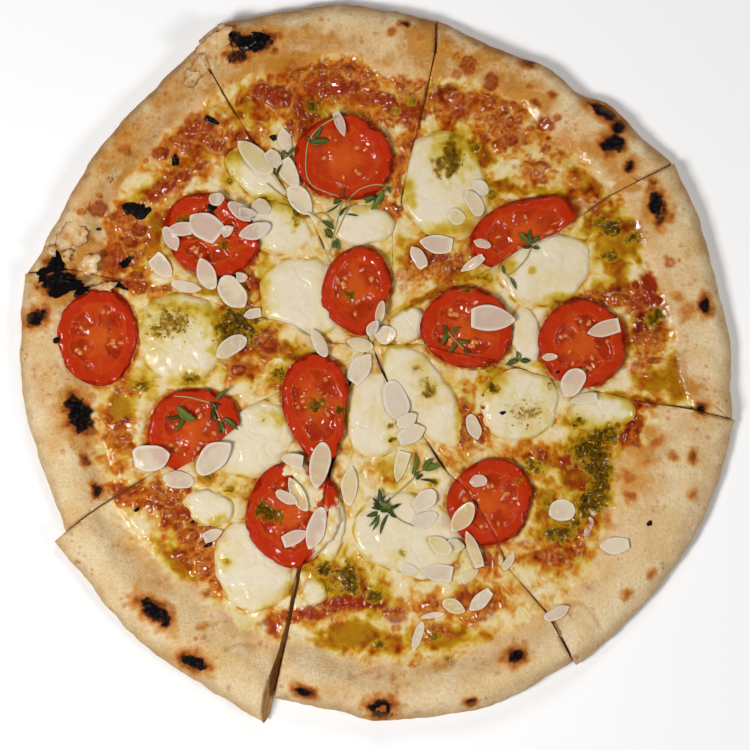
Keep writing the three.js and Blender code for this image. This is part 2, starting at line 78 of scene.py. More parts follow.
# Places where a cut gapes: middle, half its length, opening on either side in millimetres
SLITS = [(380, 369, 13, 0.7), (438, 461, 11, 0.6)]

# The slices, clockwise from the top: name, height of the crown, lean of the first cut face,
# widths of the rim at even steps along it, outer edge
SLICES = [
    ("a", 14, 0.02, (28, 28, 25, 34, 30),
     [(200, 38), (217, 25), (250, 17), (300, 8), (345, 3), (387, 9), (412, 14), (434, 20)]),
    ("b", 12, 0.02, (30, 22, 21, 26, 32),
     [(443, 19), (460, 28), (487, 40), (522, 56), (548, 64), (583, 92), (613, 105), (671, 162)]),
    ("c", 13, 0.02, (31, 30, 29, 26, 19),
     [(677, 170), (692, 198), (708, 238), (723, 295), (735, 345), (735, 370), (733, 387), (735, 412)]),
    ("d", 12, 0.02, (38, 49, 43, 33, 28),
     [(734, 428), (723, 472), (705, 522), (688, 553), (665, 585), (633, 620), (600, 650), (580, 665)]),
    ("e", 14, 0.02, (28, 28, 29, 29, 33),
     [(574, 662), (540, 682), (490, 707), (428, 718), (378, 722), (345, 714), (312, 707), (277, 700)]),
    ("f", 13, 0.32, (37, 37, 38, 31, 31),
     [(266, 725), (238, 708), (198, 684), (150, 652), (110, 612), (83, 577), (53, 542)]),
    ("g", 12, 0.02, (29, 30, 35, 34, 34),
     [(65, 532), (50, 493), (35, 450), (25, 415), (19, 362), (20, 320), (25, 277)]),
    ("h", 11, 0.02, (34, 23, 24, 23, 27),
     [(27, 272), (50, 230), (67, 198), (93, 153), (120, 120), (150, 90), (180, 60), (197, 45)]),
]

# Section of the rim from its foot to its bottom edge: share of the width, share of the crown
RIM_SECTION = [
    (0, 0.31), (0.18, 0.5), (0.36, 0.78), (0.55, 0.98), (0.78, 0.93),
    (0.93, 0.66), (1, 0.38), (0.975, 0.14), (0.9, 0),
]

# Mozzarella slabs: slice, place, half sizes in millimetres, turn in degrees
MOZZARELLA = [
    ("a", (362, 225), (14.4, 9.4), 0), ("b", (443, 185), (19.5, 26), 12),
    ("c", (545, 268), (21.2, 16.6), 20), ("c", (527, 336), (7.4, 12.8), 8), ("c", (408, 325), (9, 7.4), 30),
    ("d", (520, 405), (18, 16.4), 0), ("d", (602, 412), (15, 9.2), 4), ("d", (424, 394), (28, 11.6), -57),
    ("e", (378, 415), (14.8, 20), -10), ("e", (408, 535), (25.6, 18.6), -12),
    ("e", (331, 532), (6.4, 14), -12), ("e", (315, 592), (5.9, 6.3), 0), ("f", (250, 440), (20.3, 17), 25),
    ("f", (208, 508), (11.5, 8.4), -15), ("f", (252, 567), (16.6, 21.5), 12),
    ("g", (180, 338), (19.4, 20.3), 0), ("h", (258, 173), (17, 9.6), -30),
    ("h", (276, 228), (16.5, 11.3), -15), ("h", (303, 297), (20.3, 18), -25),
]

# Tomato slices: slices that share them, place, half sizes, turn, tip (direction, share), slope,
# chambers (direction in degrees of each), how deep the chambers are sunk
TOMATOES = [
    (("a",), (344, 158), (21.6, 19.6), -10, (0, 0), (0, 0.02), (30, 110, 190, 250, 320), 0.15),
    (("h",), (210, 235), (21.2, 18.2), -20, (-20, 0.06), (0.03, 0), (20, 95, 170, 235, 300), 1.1),
    (("g",), (98, 337), (18.6, 21.2), 0, (0, 0), (-0.13, 0), (60, 140, 220, 330), 1.0),
    (("a", "h"), (357, 288), (15.8, 18.6), -8, (-78, 0.22), (0, 0.02), (40, 160, 280), 0.7),
    (("f", "g"), (316, 400), (15.3, 21.5), 0, (-80, 0.35), (0.02, 0), (60, 180, 290), 0.9),
    (("g",), (193, 432), (20.6, 19.4), 0, (24, 0.16), (0, -0.02), (10, 80, 150, 220, 290), 0.8),
    (("f", "e"), (293, 512), (22, 22), 30, (-85, 0.14), (0, 0), (40, 110, 190, 270, 340), 0.9),
    (("b",), (524, 233), (24.6, 15.6), 20, (0, 0), (0, 0.03), (10, 100, 190, 280), 0.7),
    (("c", "d"), (467, 328), (20.5, 18.5), 0, (0, 0), (0, 0.02), (30, 120, 200, 290), 0.9),
    (("c",), (583, 344), (20, 19.5), 0, (180, 0.06), (0, 0), (0, 75, 150, 225, 290), 1.0),
    (("d", "e"), (490, 502), (18.9, 19.8), -30, (0, 0), (-0.02, 0), (20, 90, 170, 240, 310), 0.7),
]

# Almond flakes: place, length, width, turn in degrees
FLAKES = [
    ((396, 401), 19, 11, -80), ((214, 458), 20, 11, 40), ((493, 319), 20, 11, 0), ((255, 157), 21, 9, -40),
    ((152, 457), 17, 12, 10), ((233, 292), 17, 11, -55), ((205, 226), 16, 12, -40), ((361, 368), 15, 9, 55),
    ((462, 517), 16, 8, 55), ((300, 200), 16, 9, -50), ((562, 511), 12, 10, 20), ((573, 383), 14, 10, 60),
    ((603, 329), 15, 7, 12), ((316, 528), 20, 8, 70), ((350, 486), 18, 7, 85), ((298, 494), 17, 6, -60),
    ((292, 460), 10, 6, -8), ((231, 347), 16, 8, 35), ((437, 573), 14, 8, -10), ((412, 434), 13, 8, 20),
    ((436, 243), 15, 8, -8), ((207, 274), 15, 8, -65), ((290, 174), 14, 8, -55), ((401, 467), 14, 6, 75),
    ((473, 549), 18, 5, -70), ((178, 480), 14, 8, -15), ((614, 545), 13, 7, 5), ((255, 231), 15, 7, 20),
    ((360, 344), 12, 6, -10), ((162, 266), 12, 8, -45), ((474, 203), 13, 7, -60), ((474, 427), 12, 6, -75),
    ((480, 601), 13, 6, 40), ((240, 212), 13, 6, -40), ((454, 607), 11, 6, -20), ((418, 637), 14, 4, 75),
    ((584, 399), 12, 5, 10), ((287, 497), 11, 5, -30), ((171, 239), 12, 6, -65), ((340, 125), 12, 4, -70),
    ((472, 264), 12, 4, 35), ((320, 465), 21, 9, 84), ((186, 286), 14, 5, -10), ((217, 199), 7, 6, 0),
    ((180, 229), 11, 6, 0), ((228, 231), 6, 4.5, 30), ((261, 208), 9, 8, 0), ((248, 213), 8, 4.5, 0),
    ((242, 277), 5, 4.5, 0), ((252, 314), 8, 4.5, 10), ((213, 535), 9, 5, 20), ((285, 140), 11, 6, -80),
    ((274, 160), 10, 6, -50), ((457, 217), 8, 7, 0), ((480, 187), 9, 6, -30), ((418, 257), 11, 6, -60),
    ((482, 244), 8, 4, -20), ((380, 313), 11, 4, 75), ((385, 334), 10, 8, 0), ((373, 328), 8, 4.5, 60),
    ((319, 343), 14, 5.5, -60), ((407, 420), 10, 6, 30), ((478, 481), 8, 5.5, 0), ((296, 537), 12.5, 6, 20),
    ((433, 616), 11, 2.5, 10), ((455, 546), 9, 6, 0), ((409, 570), 8, 5.5, 0), ((509, 562), 9, 3.6, 60),
    ((557, 613), 12.5, 5, 25), ((549, 357), 7, 3.2, 0), ((424, 520), 13, 7, 20), ((440, 545), 12, 7, -30),
    ((425, 500), 12, 8, 50), ((470, 575), 9, 5, 30),
]

# Thyme: stems as lists of points, leaves as their foot, tip and half width
THYME = [
    ([[(339, 116), (321, 127), (309, 141), (306, 160), (307, 176), (313, 186), (326, 192), (340, 197)],
      [(386, 186), (375, 185), (361, 189), (351, 197), (345, 206)],
      [(342, 200), (338, 218), (333, 237), (330, 252)], [(351, 203), (343, 219), (336, 235)],
      [(267, 183), (283, 196), (301, 208), (316, 216), (333, 227)], [(315, 214), (324, 213), (334, 222)],
      [(295, 147), (286, 156), (282, 163), (277, 178)]],
     [(313, 140, 322, 126, 1.6), (310, 142, 330, 141, 2.8), (311, 142, 305, 136, 1.3),
      (341, 200, 333, 204, 2.4), (340, 203, 324, 213, 0.8), (342, 198, 343, 187, 0.7),
      (384, 189, 370, 211, 2.2), (376, 195, 365, 203, 2.4), (374, 196, 362, 199, 1.8),
      (386, 186, 391, 193, 1.6), (383, 192, 373, 206, 1.8), (334, 229, 321, 221, 1.9),
      (333, 235, 324, 229, 2.2), (332, 238, 325, 234, 1.5), (336, 239, 333, 249, 1.9),
      (337, 238, 339, 251, 1.9), (346, 214, 359, 216, 0.7), (340, 216, 345, 207, 1.0),
      (347, 200, 351, 197, 1.2), (286, 157, 283, 149, 2.2), (287, 156, 296, 147, 1.4),
      (282, 164, 277, 178, 1.0)]),
    ([[(174, 396), (188, 397), (200, 400), (210, 403), (216, 410), (219, 417), (222, 424)]],
     [(216, 402, 230, 389, 1.7), (223, 418, 239, 430, 2.3), (213, 408, 216, 422, 1.9),
      (217, 420, 219, 436, 0.9), (219, 421, 219, 431, 1.4), (221, 422, 224, 434, 1.6),
      (214, 403, 221, 406, 1.2), (210, 402, 217, 410, 1.8), (196, 420, 177, 405, 3.4),
      (183, 414, 165, 418, 1.5), (184, 417, 174, 430, 1.8)]),
    ([[(532, 246), (527, 258), (516, 270), (506, 276)], [(503, 266), (508, 276), (515, 282), (517, 290)]],
     [(531, 244, 519, 232, 2.0), (531, 243, 530, 229, 1.7), (532, 244, 539, 236, 2.0),
      (532, 247, 540, 249, 1.5), (531, 247, 522, 248, 1.4), (510, 277, 517, 290, 1.3),
      (505, 274, 502, 265, 1.3), (519, 360, 506, 365, 2.4), (519, 360, 517, 351, 1.8),
      (520, 360, 531, 361, 2.0)]),
    ([[(446, 330), (455, 340), (464, 350)]],
     [(447, 331, 440, 346, 1.7), (451, 335, 462, 327, 1.6), (456, 341, 470, 343, 1.7),
      (457, 343, 448, 354, 1.6), (448, 332, 443, 325, 1.3), (463, 349, 471, 353, 1.2)]),
    ([[(423, 470), (412, 480), (400, 491), (393, 497), (383, 507)],
      [(383, 508), (396, 517), (404, 522), (414, 526)]],
     [(412, 475, 415, 452, 1.9), (423, 471, 434, 458, 2.4), (423, 470, 441, 466, 2.9),
      (416, 480, 423, 474, 1.5), (420, 480, 439, 485, 1.0), (414, 477, 420, 472, 1.3),
      (379, 502, 379, 488, 1.7), (379, 507, 372, 497, 1.3), (381, 503, 386, 495, 1.0),
      (385, 503, 390, 497, 0.9), (379, 503, 392, 510, 2.6), (390, 510, 402, 504, 1.0),
      (378, 512, 366, 516, 1.9), (379, 514, 372, 531, 1.2), (388, 514, 380, 535, 1.3),
      (377, 514, 368, 527, 0.9), (389, 511, 397, 518, 1.5), (380, 511, 389, 511, 1.4),
      (381, 509, 373, 503, 1.8), (384, 508, 394, 514, 1.9), (381, 510, 371, 508, 1.5),
      (386, 506, 399, 506, 1.2), (383, 512, 384, 500, 1.6)]),
]

# Spots of the bake, as place, half sizes and turn in picture points and degrees, and how strong each is.
# Char on the rim, with how black it is and how high it is blown up in millimetres
CHAR = [
    (252, 44, 24, 10, 0, 1, 1.2), (232, 34, 12, 6, -20, 0.9, 0.6), (200, 65, 6, 5, 0, 0.7, 0.5),
    (125, 150, 14, 7, 0, 0.5, 0.5), (127, 133, 8, 5, 0, 0.35, 0.3), (60, 282, 22, 14, 15, 1, 1.2),
    (55, 262, 12, 8, 20, 0.9, 0.8), (36, 318, 9, 14, -65, 1, 1.0), (81, 415, 24, 15, -60, 1, 1.4),
    (85, 460, 11, 4, -50, 0.65, 0.6), (97, 490, 6, 11, 15, 0.75, 0.6), (155, 611, 22, 10, -38, 1, 1.4),
    (195, 661, 17, 8, -22, 1, 1.2), (305, 691, 11, 5, -20, 0.9, 0.8), (381, 708, 14, 12, 0, 1, 1.6),
    (515, 655, 11, 7, 20, 0.95, 1.0), (470, 701, 8, 4, 20, 0.7, 0.5), (605, 113, 19, 7, -32, 1, 1.4),
    (618, 127, 8, 10, 0, 1, 1.0), (612, 144, 14, 11, 0, 1, 1.4), (629, 167, 4, 8, -30, 0.85, 0.5),
    (655, 204, 8, 15, 0, 1, 1.5), (653, 183, 5, 4, 0, 0.6, 0.4), (704, 306, 6, 10, 0, 0.95, 0.8),
    (701, 409, 5, 6, 0, 0.85, 0.4), (637, 443, 9, 6, 0, 0.6, 0.3), (645, 446, 24, 14, 0, 0.3, 0.2),
    (646, 460, 10, 7, 0, 0.4, 0.3), (629, 477, 12, 8, 0, 0.45, 0.3), (633, 496, 7, 6, 0, 0.55, 0.3),
    (634, 484, 18, 20, 0, 0.22, 0.2), (607, 522, 7, 10, -20, 0.45, 0.3), (692, 457, 5, 7, 0, 0.6, 0.3),
    (672, 457, 4, 6, 0, 0.45, 0.3), (692, 496, 4, 6, 0, 0.5, 0.3), (560, 562, 12, 9, 0, 0.6, 0.3),
    (581, 543, 7, 6, 0, 0.55, 0.3), (651, 574, 3, 8, -35, 0.5, 0.3), (626, 593, 4, 6, -35, 0.5, 0.3),
    (528, 62, 8, 4, -10, 0.8, 0.4), (528, 86, 5, 5, 0, 0.55, 0.4), (537, 103, 5, 6, 20, 0.6, 0.4),
    (552, 96, 5, 4, 0, 0.6, 0.4), (447, 45, 7, 5, 0, 0.35, 0.4), (405, 25, 6, 3, -10, 0.7, 0.3),
    (392, 33, 4, 3, 0, 0.5, 0.2), (420, 40, 7, 5, 0, 0.35, 0.2), (203, 627, 4, 4, 0, 0.4, 0.2),
    (238, 58, 14, 8, 0, 0.55, 0.3), (660, 214, 12, 20, 0, 0.66, 0.3), (264, 40, 24, 14, 10, 0.55, 0.3),
    (238, 57, 18, 9, 10, 0.72, 0.4), (275, 50, 8, 5, 30, 0.6, 0.3), (690, 312, 10, 12, 0, 0.4, 0.2),
    (676, 298, 4, 4, 0, 0.4, 0.2), (655, 442, 9, 7, 0, 0.5, 0.3),
]

# Golden zones of the crust
AMBER = [
    (300, 55, 66, 18, -5, 0.8), (262, 64, 44, 14, 0, 0.8), (350, 40, 40, 18, 0, 0.4),
    (225, 62, 26, 16, 0, 0.6), (475, 48, 44, 16, 25, 0.6), (530, 85, 28, 26, 0, 0.7),
    (575, 140, 14, 40, -32, 0.5), (640, 225, 16, 30, 0, 0.6), (690, 265, 20, 30, 0, 0.3),
    (690, 392, 24, 14, 0, 0.7), (640, 465, 36, 46, 10, 0.8), (690, 432, 22, 26, 0, 0.5),
    (650, 545, 34, 26, 0, 0.2), (560, 575, 46, 26, 0, 0.4), (400, 680, 66, 14, 0, 0.4),
    (330, 690, 34, 14, 0, 0.4), (500, 660, 34, 14, 0, 0.5), (150, 580, 60, 22, 38, 0.7),
    (190, 640, 44, 16, 32, 0.5), (130, 545, 34, 14, 35, 0.4), (68, 410, 26, 44, 0, 0.8),
    (48, 370, 22, 44, 0, 0.7), (98, 470, 20, 34, 0, 0.5), (90, 185, 44, 30, 45, 0.78),
    (130, 135, 60, 26, 42, 0.85), (180, 88, 56, 22, 42, 0.85), (172, 112, 40, 16, 42, 0.8),
    (345, 54, 60, 12, 0, 0.5), (440, 60, 30, 18, 0, 0.6), (512, 88, 40, 20, -30, 0.6),
]

# Toasted zones of the crust, browner than golden
TOASTED = [
    (300, 62, 64, 14, -3, 1), (245, 84, 18, 28, -40, 1), (428, 44, 34, 30, 0, 1), (640, 426, 26, 30, 0, 1),
    (624, 186, 36, 14, 42, 1), (587, 152, 14, 28, -36, 0.9), (88, 250, 22, 30, 0, 0.9),
    (520, 92, 44, 22, -30, 0.9), (115, 498, 26, 13, -30, 0.8), (318, 42, 60, 14, 0, 0.5),
    (80, 412, 24, 32, 0, 0.5), (660, 212, 18, 28, 0, 0.8), (440, 66, 30, 16, 0, 0.8),
    (690, 388, 22, 14, 0, 0.6), (62, 300, 20, 16, 0, 0.5), (612, 160, 16, 22, -36, 0.7),
    (212, 90, 18, 18, 0, 0.6), (634, 432, 14, 26, 0, 1), (577, 150, 30, 10, -45, 0.7),
    (240, 88, 14, 12, -45, 0.6), (88, 264, 10, 12, 0, 0.6), (437, 666, 18, 8, 0, 0.5),
    (386, 62, 18, 8, 0, 0.5), (137, 513, 14, 9, 30, 0.4), (130, 145, 66, 26, 42, 0.45),
    (165, 102, 40, 16, 42, 0.5), (136, 175, 44, 14, 44, 1), (300, 35, 46, 12, 0, 0.55),
    (480, 60, 28, 14, 25, 0.9), (480, 670, 30, 10, 15, 0.18), (400, 690, 40, 9, 0, 0.18),
    (160, 588, 34, 14, 38, 0.22), (40, 380, 12, 30, 0, 0.15), (268, 34, 34, 12, 0, 0.6),
]

# Floury zones of the crust
FLOUR = [
    (600, 100, 40, 8, -45, 0.5), (717, 300, 12, 90, -4, 0.8), (705, 520, 24, 80, -20, 0.9),
    (620, 612, 60, 24, 38, 0.8), (430, 702, 110, 10, 0, 0.5), (80, 560, 34, 30, 45, 0.7),
    (235, 690, 44, 16, -32, 0.7), (35, 430, 12, 80, 6, 0.7), (595, 165, 16, 30, -36, 0.6),
    (660, 300, 16, 60, -8, 0.4), (170, 640, 60, 10, -38, 0.5), (105, 600, 40, 12, -50, 0.6),
]

# Browned blisters of the cheese
BLISTERS = [
    (262, 90, 10, 8, 0, 0.9), (279, 97, 14, 13, 0, 0.95), (258, 128, 8, 6, 0, 0.7), (312, 78, 9, 7, 0, 0.9),
    (323, 77, 8, 7, 0, 0.9), (336, 80, 9, 9, 0, 1), (344, 88, 8, 6, 0, 1), (354, 86, 6, 6, 0, 0.9),
    (371, 86, 9, 7, 0, 0.9), (325, 93, 6, 5, 0, 0.8), (342, 100, 6, 5, 0, 0.8), (385, 98, 12, 7, -15, 0.9),
    (400, 86, 6, 5, 0, 0.8), (421, 86, 7, 9, 0, 0.85), (396, 109, 13, 8, 0, 0.85),
    (413, 107, 12, 9, 0, 0.85), (405, 121, 12, 4, 0, 0.8), (365, 104, 5, 4, 0, 0.6),
    (388, 121, 5, 4, 0, 0.6), (468, 65, 9, 9, 40, 0.8), (457, 74, 5, 5, 0, 0.6), (491, 82, 8, 10, 0, 0.85),
    (460, 100, 8, 8, 0, 0.8), (460, 113, 6, 5, 0, 0.9), (437, 109, 5, 5, 0, 0.7), (489, 104, 8, 8, 0, 0.8),
    (497, 129, 10, 8, 0, 0.85), (500, 145, 9, 7, 0, 0.8), (515, 105, 6, 5, 0, 0.8),
    (515, 120, 8, 6, 0, 0.8), (546, 124, 9, 8, 0, 0.9), (509, 140, 11, 7, 0, 0.9), (546, 149, 5, 6, 0, 0.8),
    (540, 165, 12, 4, -10, 0.7), (528, 168, 8, 8, 0, 0.55), (583, 203, 8, 5, 0, 0.6),
    (560, 141, 5, 5, 0, 0.5), (575, 182, 6, 5, 0, 0.5), (478, 118, 6, 5, 0, 0.5), (530, 130, 5, 5, 0, 0.5),
    (193, 120, 10, 8, 0, 0.9), (187, 132, 12, 8, 30, 0.85), (175, 142, 9, 8, 0, 0.85),
    (160, 153, 10, 8, 0, 0.9), (217, 145, 11, 6, 0, 0.95), (210, 128, 9, 4, -25, 0.7),
    (201, 166, 9, 5, 25, 0.8), (183, 176, 9, 6, 30, 0.85), (168, 186, 9, 6, 35, 0.85),
    (155, 197, 9, 6, 40, 0.8), (98, 209, 11, 8, 0, 0.9), (120, 217, 14, 7, -10, 0.85),
    (138, 229, 9, 8, 0, 0.95), (115, 250, 8, 8, 0, 0.9), (130, 259, 9, 9, 0, 0.75),
    (112, 275, 6, 7, 0, 0.95), (105, 255, 6, 8, 0, 0.5), (105, 421, 4, 4, 0, 0.7), (110, 440, 6, 8, 0, 0.5),
    (127, 437, 6, 5, 0, 0.6), (134, 421, 4, 4, 0, 0.5), (238, 370, 8, 6, 0, 0.8), (125, 388, 6, 5, 0, 0.6),
    (268, 345, 11, 9, 0, 0.7), (158, 497, 11, 5, -10, 0.7), (182, 513, 12, 9, 0, 0.85),
    (188, 537, 11, 9, 0, 0.75), (206, 562, 8, 10, 0, 0.6), (206, 573, 6, 5, 0, 0.9),
    (216, 586, 9, 5, -30, 0.6), (280, 417, 6, 5, 0, 0.8), (395, 615, 12, 9, 0, 0.8),
    (430, 605, 8, 5, 0, 0.7), (465, 598, 11, 7, 0, 0.8), (481, 613, 11, 9, 0, 0.7),
    (435, 632, 10, 8, 0, 0.8), (455, 566, 5, 5, 0, 0.5), (462, 409, 7, 6, 0, 0.8), (463, 430, 7, 7, 0, 0.6),
    (468, 447, 10, 4, 0, 0.6), (528, 545, 12, 5, 0, 0.55), (558, 560, 9, 8, 0, 0.8),
    (580, 545, 5, 5, 0, 0.7), (640, 302, 10, 8, 0, 0.85), (650, 341, 10, 8, 0, 0.6),
    (638, 368, 9, 7, 0, 0.7), (653, 360, 11, 4, 0, 0.9), (620, 300, 16, 7, 0, 0.7),
    (598, 297, 12, 6, 0, 0.75), (405, 275, 10, 8, 0, 0.5), (440, 270, 8, 7, 0, 0.55),
    (458, 258, 5, 5, 0, 0.7), (670, 263, 5, 5, 0, 0.75), (650, 285, 9, 12, 20, 1.15),
    (655, 300, 8, 7, 0, 1.1),
]

# Zones of the melt that are browner or redder
HEAT = [
    (330, 86, 100, 20, -2, 0.4), (272, 100, 22, 26, 0, 0.36), (395, 112, 40, 16, -5, 0.4),
    (300, 118, 24, 22, 0, 0.3), (505, 118, 60, 40, -25, 0.27), (450, 105, 24, 22, 0, 0.4),
    (560, 165, 40, 24, -40, 0.12), (190, 140, 52, 26, 35, 0.3), (235, 145, 32, 22, 0, 0.4),
    (178, 182, 40, 14, 33, 0.4), (122, 235, 32, 30, 0, 0.5), (115, 265, 26, 20, 0, 0.45),
    (114, 438, 18, 34, 0, 0.4), (168, 503, 44, 22, -22, 0.5), (198, 545, 26, 44, 12, 0.5),
    (214, 582, 22, 22, 0, 0.5), (345, 606, 45, 12, 5, 0.45), (300, 616, 22, 8, 0, 0.5),
    (278, 624, 12, 14, 0, 0.5), (648, 320, 20, 46, 0, 0.5), (615, 298, 36, 12, 0, 0.45),
    (436, 266, 36, 22, -10, 0.32), (250, 285, 18, 44, 0, 0.35), (256, 345, 32, 16, 0, 0.4),
    (240, 370, 22, 14, 0, 0.3), (466, 425, 15, 40, 0, 0.35), (545, 455, 44, 14, -10, 0.3),
    (480, 600, 34, 26, 0, 0.35), (430, 610, 30, 16, 0, 0.3), (402, 165, 10, 60, -12, 0.3),
    (555, 550, 44, 22, 10, 0.3), (590, 192, 20, 16, 0, 0.35), (345, 236, 12, 8, 0, 0.2),
    (490, 375, 16, 14, 0, 0.2), (200, 275, 34, 14, 0, 0.15), (128, 392, 14, 10, 0, 0.2),
    (285, 430, 14, 24, 0, 0.25), (137, 285, 18, 12, 0, 0.6), (240, 100, 12, 22, -35, 0.3),
    (486, 428, 13, 20, 0, 0.85), (412, 137, 14, 30, -10, 0.5), (388, 212, 12, 22, 0, 0.6),
    (487, 562, 13, 13, 0, 0.6), (128, 498, 26, 13, -30, 0.5), (537, 175, 22, 14, -10, 0.4),
    (512, 262, 9, 14, 0, 0.85), (662, 312, 12, 26, 0, 0.5), (212, 512, 9, 9, 0, 0.9),
    (170, 295, 28, 10, -12, 0.4), (330, 68, 60, 12, -3, 0.42), (637, 405, 20, 10, 0, 0.5),
    (187, 312, 30, 7, -10, 0.4), (633, 430, 12, 26, 0, 0.9), (437, 240, 16, 10, 0, 0.5),
    (487, 412, 10, 10, 0, 0.5), (537, 162, 16, 8, 0, 0.4), (187, 512, 12, 10, 0, 0.5),
    (462, 412, 8, 14, 0, 0.4), (162, 187, 14, 10, 0, 0.4),
]

# Pesto, as place, half sizes, turn and how thick it lies
PESTO = [
    (452, 155, 11, 22, 0, 1), (310, 107, 8, 7, 0, 1), (475, 148, 6, 5, 0, 0.6), (492, 195, 5, 5, 0, 0.6),
    (295, 213, 6, 12, 0, 0.9), (263, 198, 6, 4, 0, 0.6), (230, 180, 5, 5, 0, 0.6), (110, 180, 4, 3, 0, 0.5),
    (183, 220, 9, 7, 0, 0.9), (225, 245, 8, 7, 0, 0.8), (172, 321, 24, 20, 0, 0.5),
    (157, 331, 14, 10, 0, 0.45), (235, 325, 25, 17, 20, 1), (190, 378, 10, 6, 0, 0.6),
    (140, 385, 12, 8, 0, 0.7), (278, 375, 10, 8, 0, 0.6), (350, 295, 9, 7, 0, 0.8),
    (317, 405, 13, 10, 0, 0.9), (340, 410, 5, 9, 0, 1), (263, 420, 4, 4, 0, 0.4), (390, 427, 5, 4, 0, 0.5),
    (392, 440, 4, 4, 0, 0.5), (418, 368, 5, 5, 0, 0.5), (428, 391, 10, 13, 0, 0.55),
    (490, 370, 7, 5, 0, 0.7), (493, 388, 8, 7, 0, 0.7), (485, 278, 7, 5, 0, 0.7),
    (525, 412, 18, 17, 0, 0.33), (580, 422, 10, 6, 0, 0.6), (550, 385, 5, 4, 0, 0.4),
    (558, 303, 6, 5, 0, 0.5), (600, 222, 8, 8, 0, 0.8), (612, 228, 12, 9, 0, 1), (635, 237, 10, 8, 0, 0.8),
    (610, 255, 12, 7, 0, 0.7), (657, 316, 12, 9, 0, 1), (598, 460, 15, 28, 8, 1),
    (590, 505, 15, 14, 0, 0.9), (560, 534, 16, 9, 10, 0.9), (535, 465, 12, 8, 0, 0.7),
    (587, 452, 22, 10, 20, 0.9), (605, 438, 16, 9, 20, 0.8), (548, 502, 7, 10, 0, 0.5),
    (575, 522, 10, 9, 0, 0.7), (322, 570, 12, 9, 0, 0.8), (347, 580, 18, 16, 0, 1),
    (375, 595, 12, 10, 0, 0.8), (380, 646, 7, 7, 0, 0.9), (435, 637, 8, 6, 0, 0.7),
    (447, 662, 5, 4, 0, 0.6), (402, 553, 5, 5, 0, 0.4), (227, 562, 4, 4, 0, 0.3), (230, 490, 7, 5, 0, 0.5),
    (208, 479, 6, 5, 0, 0.5), (268, 512, 17, 9, -25, 1), (468, 290, 9, 6, 0, 0.7), (410, 100, 7, 6, 0, 0.5),
    (395, 110, 6, 5, 0, 0.4), (520, 480, 10, 6, 0, 0.5), (238, 337, 20, 12, 20, 0.9),
    (440, 162, 9, 14, 0, 0.7), (590, 496, 10, 13, 0, 0.8), (600, 436, 22, 9, 25, 0.9),
    (600, 480, 12, 20, 0, 1), (592, 447, 22, 10, 20, 1), (604, 500, 9, 12, 0, 0.8),
    (268, 513, 16, 9, -25, 1),
]

# Pools of yellow oil and smears of red sauce
OIL = [
    (350, 635, 22, 15, 0, 1), (120, 408, 12, 16, 0, 0.9), (680, 375, 15, 20, 0, 0.9),
    (175, 565, 26, 8, -45, 0.7), (153, 232, 8, 18, 0, 0.8), (620, 245, 22, 14, 0, 0.8),
    (445, 640, 18, 9, 0, 0.8), (532, 270, 5, 5, 0, 0.7), (432, 540, 5, 4, 0, 0.5), (227, 562, 6, 5, 0, 0.6),
    (285, 62, 26, 12, 0, 0.6), (660, 385, 16, 8, 0, 0.7),
]
SAUCE = [
    (270, 625, 10, 8, 0, 0.9), (310, 613, 16, 8, 0, 1), (345, 604, 24, 8, 0, 1), (650, 287, 8, 20, 0, 0.9),
    (640, 300, 10, 14, 0, 0.7), (262, 92, 16, 14, 0, 0.6), (205, 128, 30, 12, 35, 0.6),
    (238, 365, 20, 10, 0, 0.5), (325, 86, 36, 9, -3, 0.85), (372, 98, 30, 8, -10, 0.7),
    (300, 97, 12, 7, 0, 0.6), (568, 462, 9, 12, 0, 0.8), (578, 485, 8, 10, 0, 0.7),
    (408, 111, 22, 9, -8, 0.8), (112, 262, 13, 15, 0, 0.7), (162, 188, 26, 7, 35, 0.6),
    (118, 284, 14, 9, 0, 0.8), (462, 110, 14, 10, 0, 0.6), (512, 128, 18, 9, -20, 0.5),
    (337, 88, 14, 9, 0, 0.7), (187, 510, 9, 7, 0, 0.5),
]

# Zones of the melt that stayed cream
CREAM = [
    (355, 225, 44, 30, 0, 0.4), (285, 165, 22, 26, 0, 0.4), (445, 190, 50, 62, 0, 0.4),
    (515, 165, 26, 16, 0, 0.4), (540, 195, 34, 10, 0, 0.35), (545, 268, 52, 42, 0, 0.4),
    (525, 335, 26, 38, 0, 0.4), (625, 368, 10, 26, 0, 0.3), (638, 265, 12, 20, 0, 0.3),
    (520, 405, 54, 42, 0, 0.4), (600, 412, 42, 24, 0, 0.4), (425, 392, 40, 66, 30, 0.4),
    (378, 420, 42, 56, 0, 0.4), (400, 535, 78, 50, 0, 0.45), (450, 575, 40, 20, 0, 0.35),
    (370, 622, 30, 9, 0, 0.3), (250, 445, 66, 50, 0, 0.4), (215, 507, 40, 24, 0, 0.4),
    (255, 572, 46, 56, 0, 0.4), (185, 340, 54, 56, 0, 0.4), (145, 405, 24, 18, 0, 0.25),
    (258, 178, 46, 30, -30, 0.4), (275, 228, 48, 34, 0, 0.4), (302, 297, 56, 50, 0, 0.45),
    (195, 277, 46, 16, 0, 0.3), (315, 590, 24, 24, 0, 0.35), (330, 540, 24, 50, 0, 0.4),
    (425, 482, 24, 22, 0, 0.4), (292, 364, 14, 10, 0, 0.4), (390, 592, 14, 10, 0, 0.4),
]

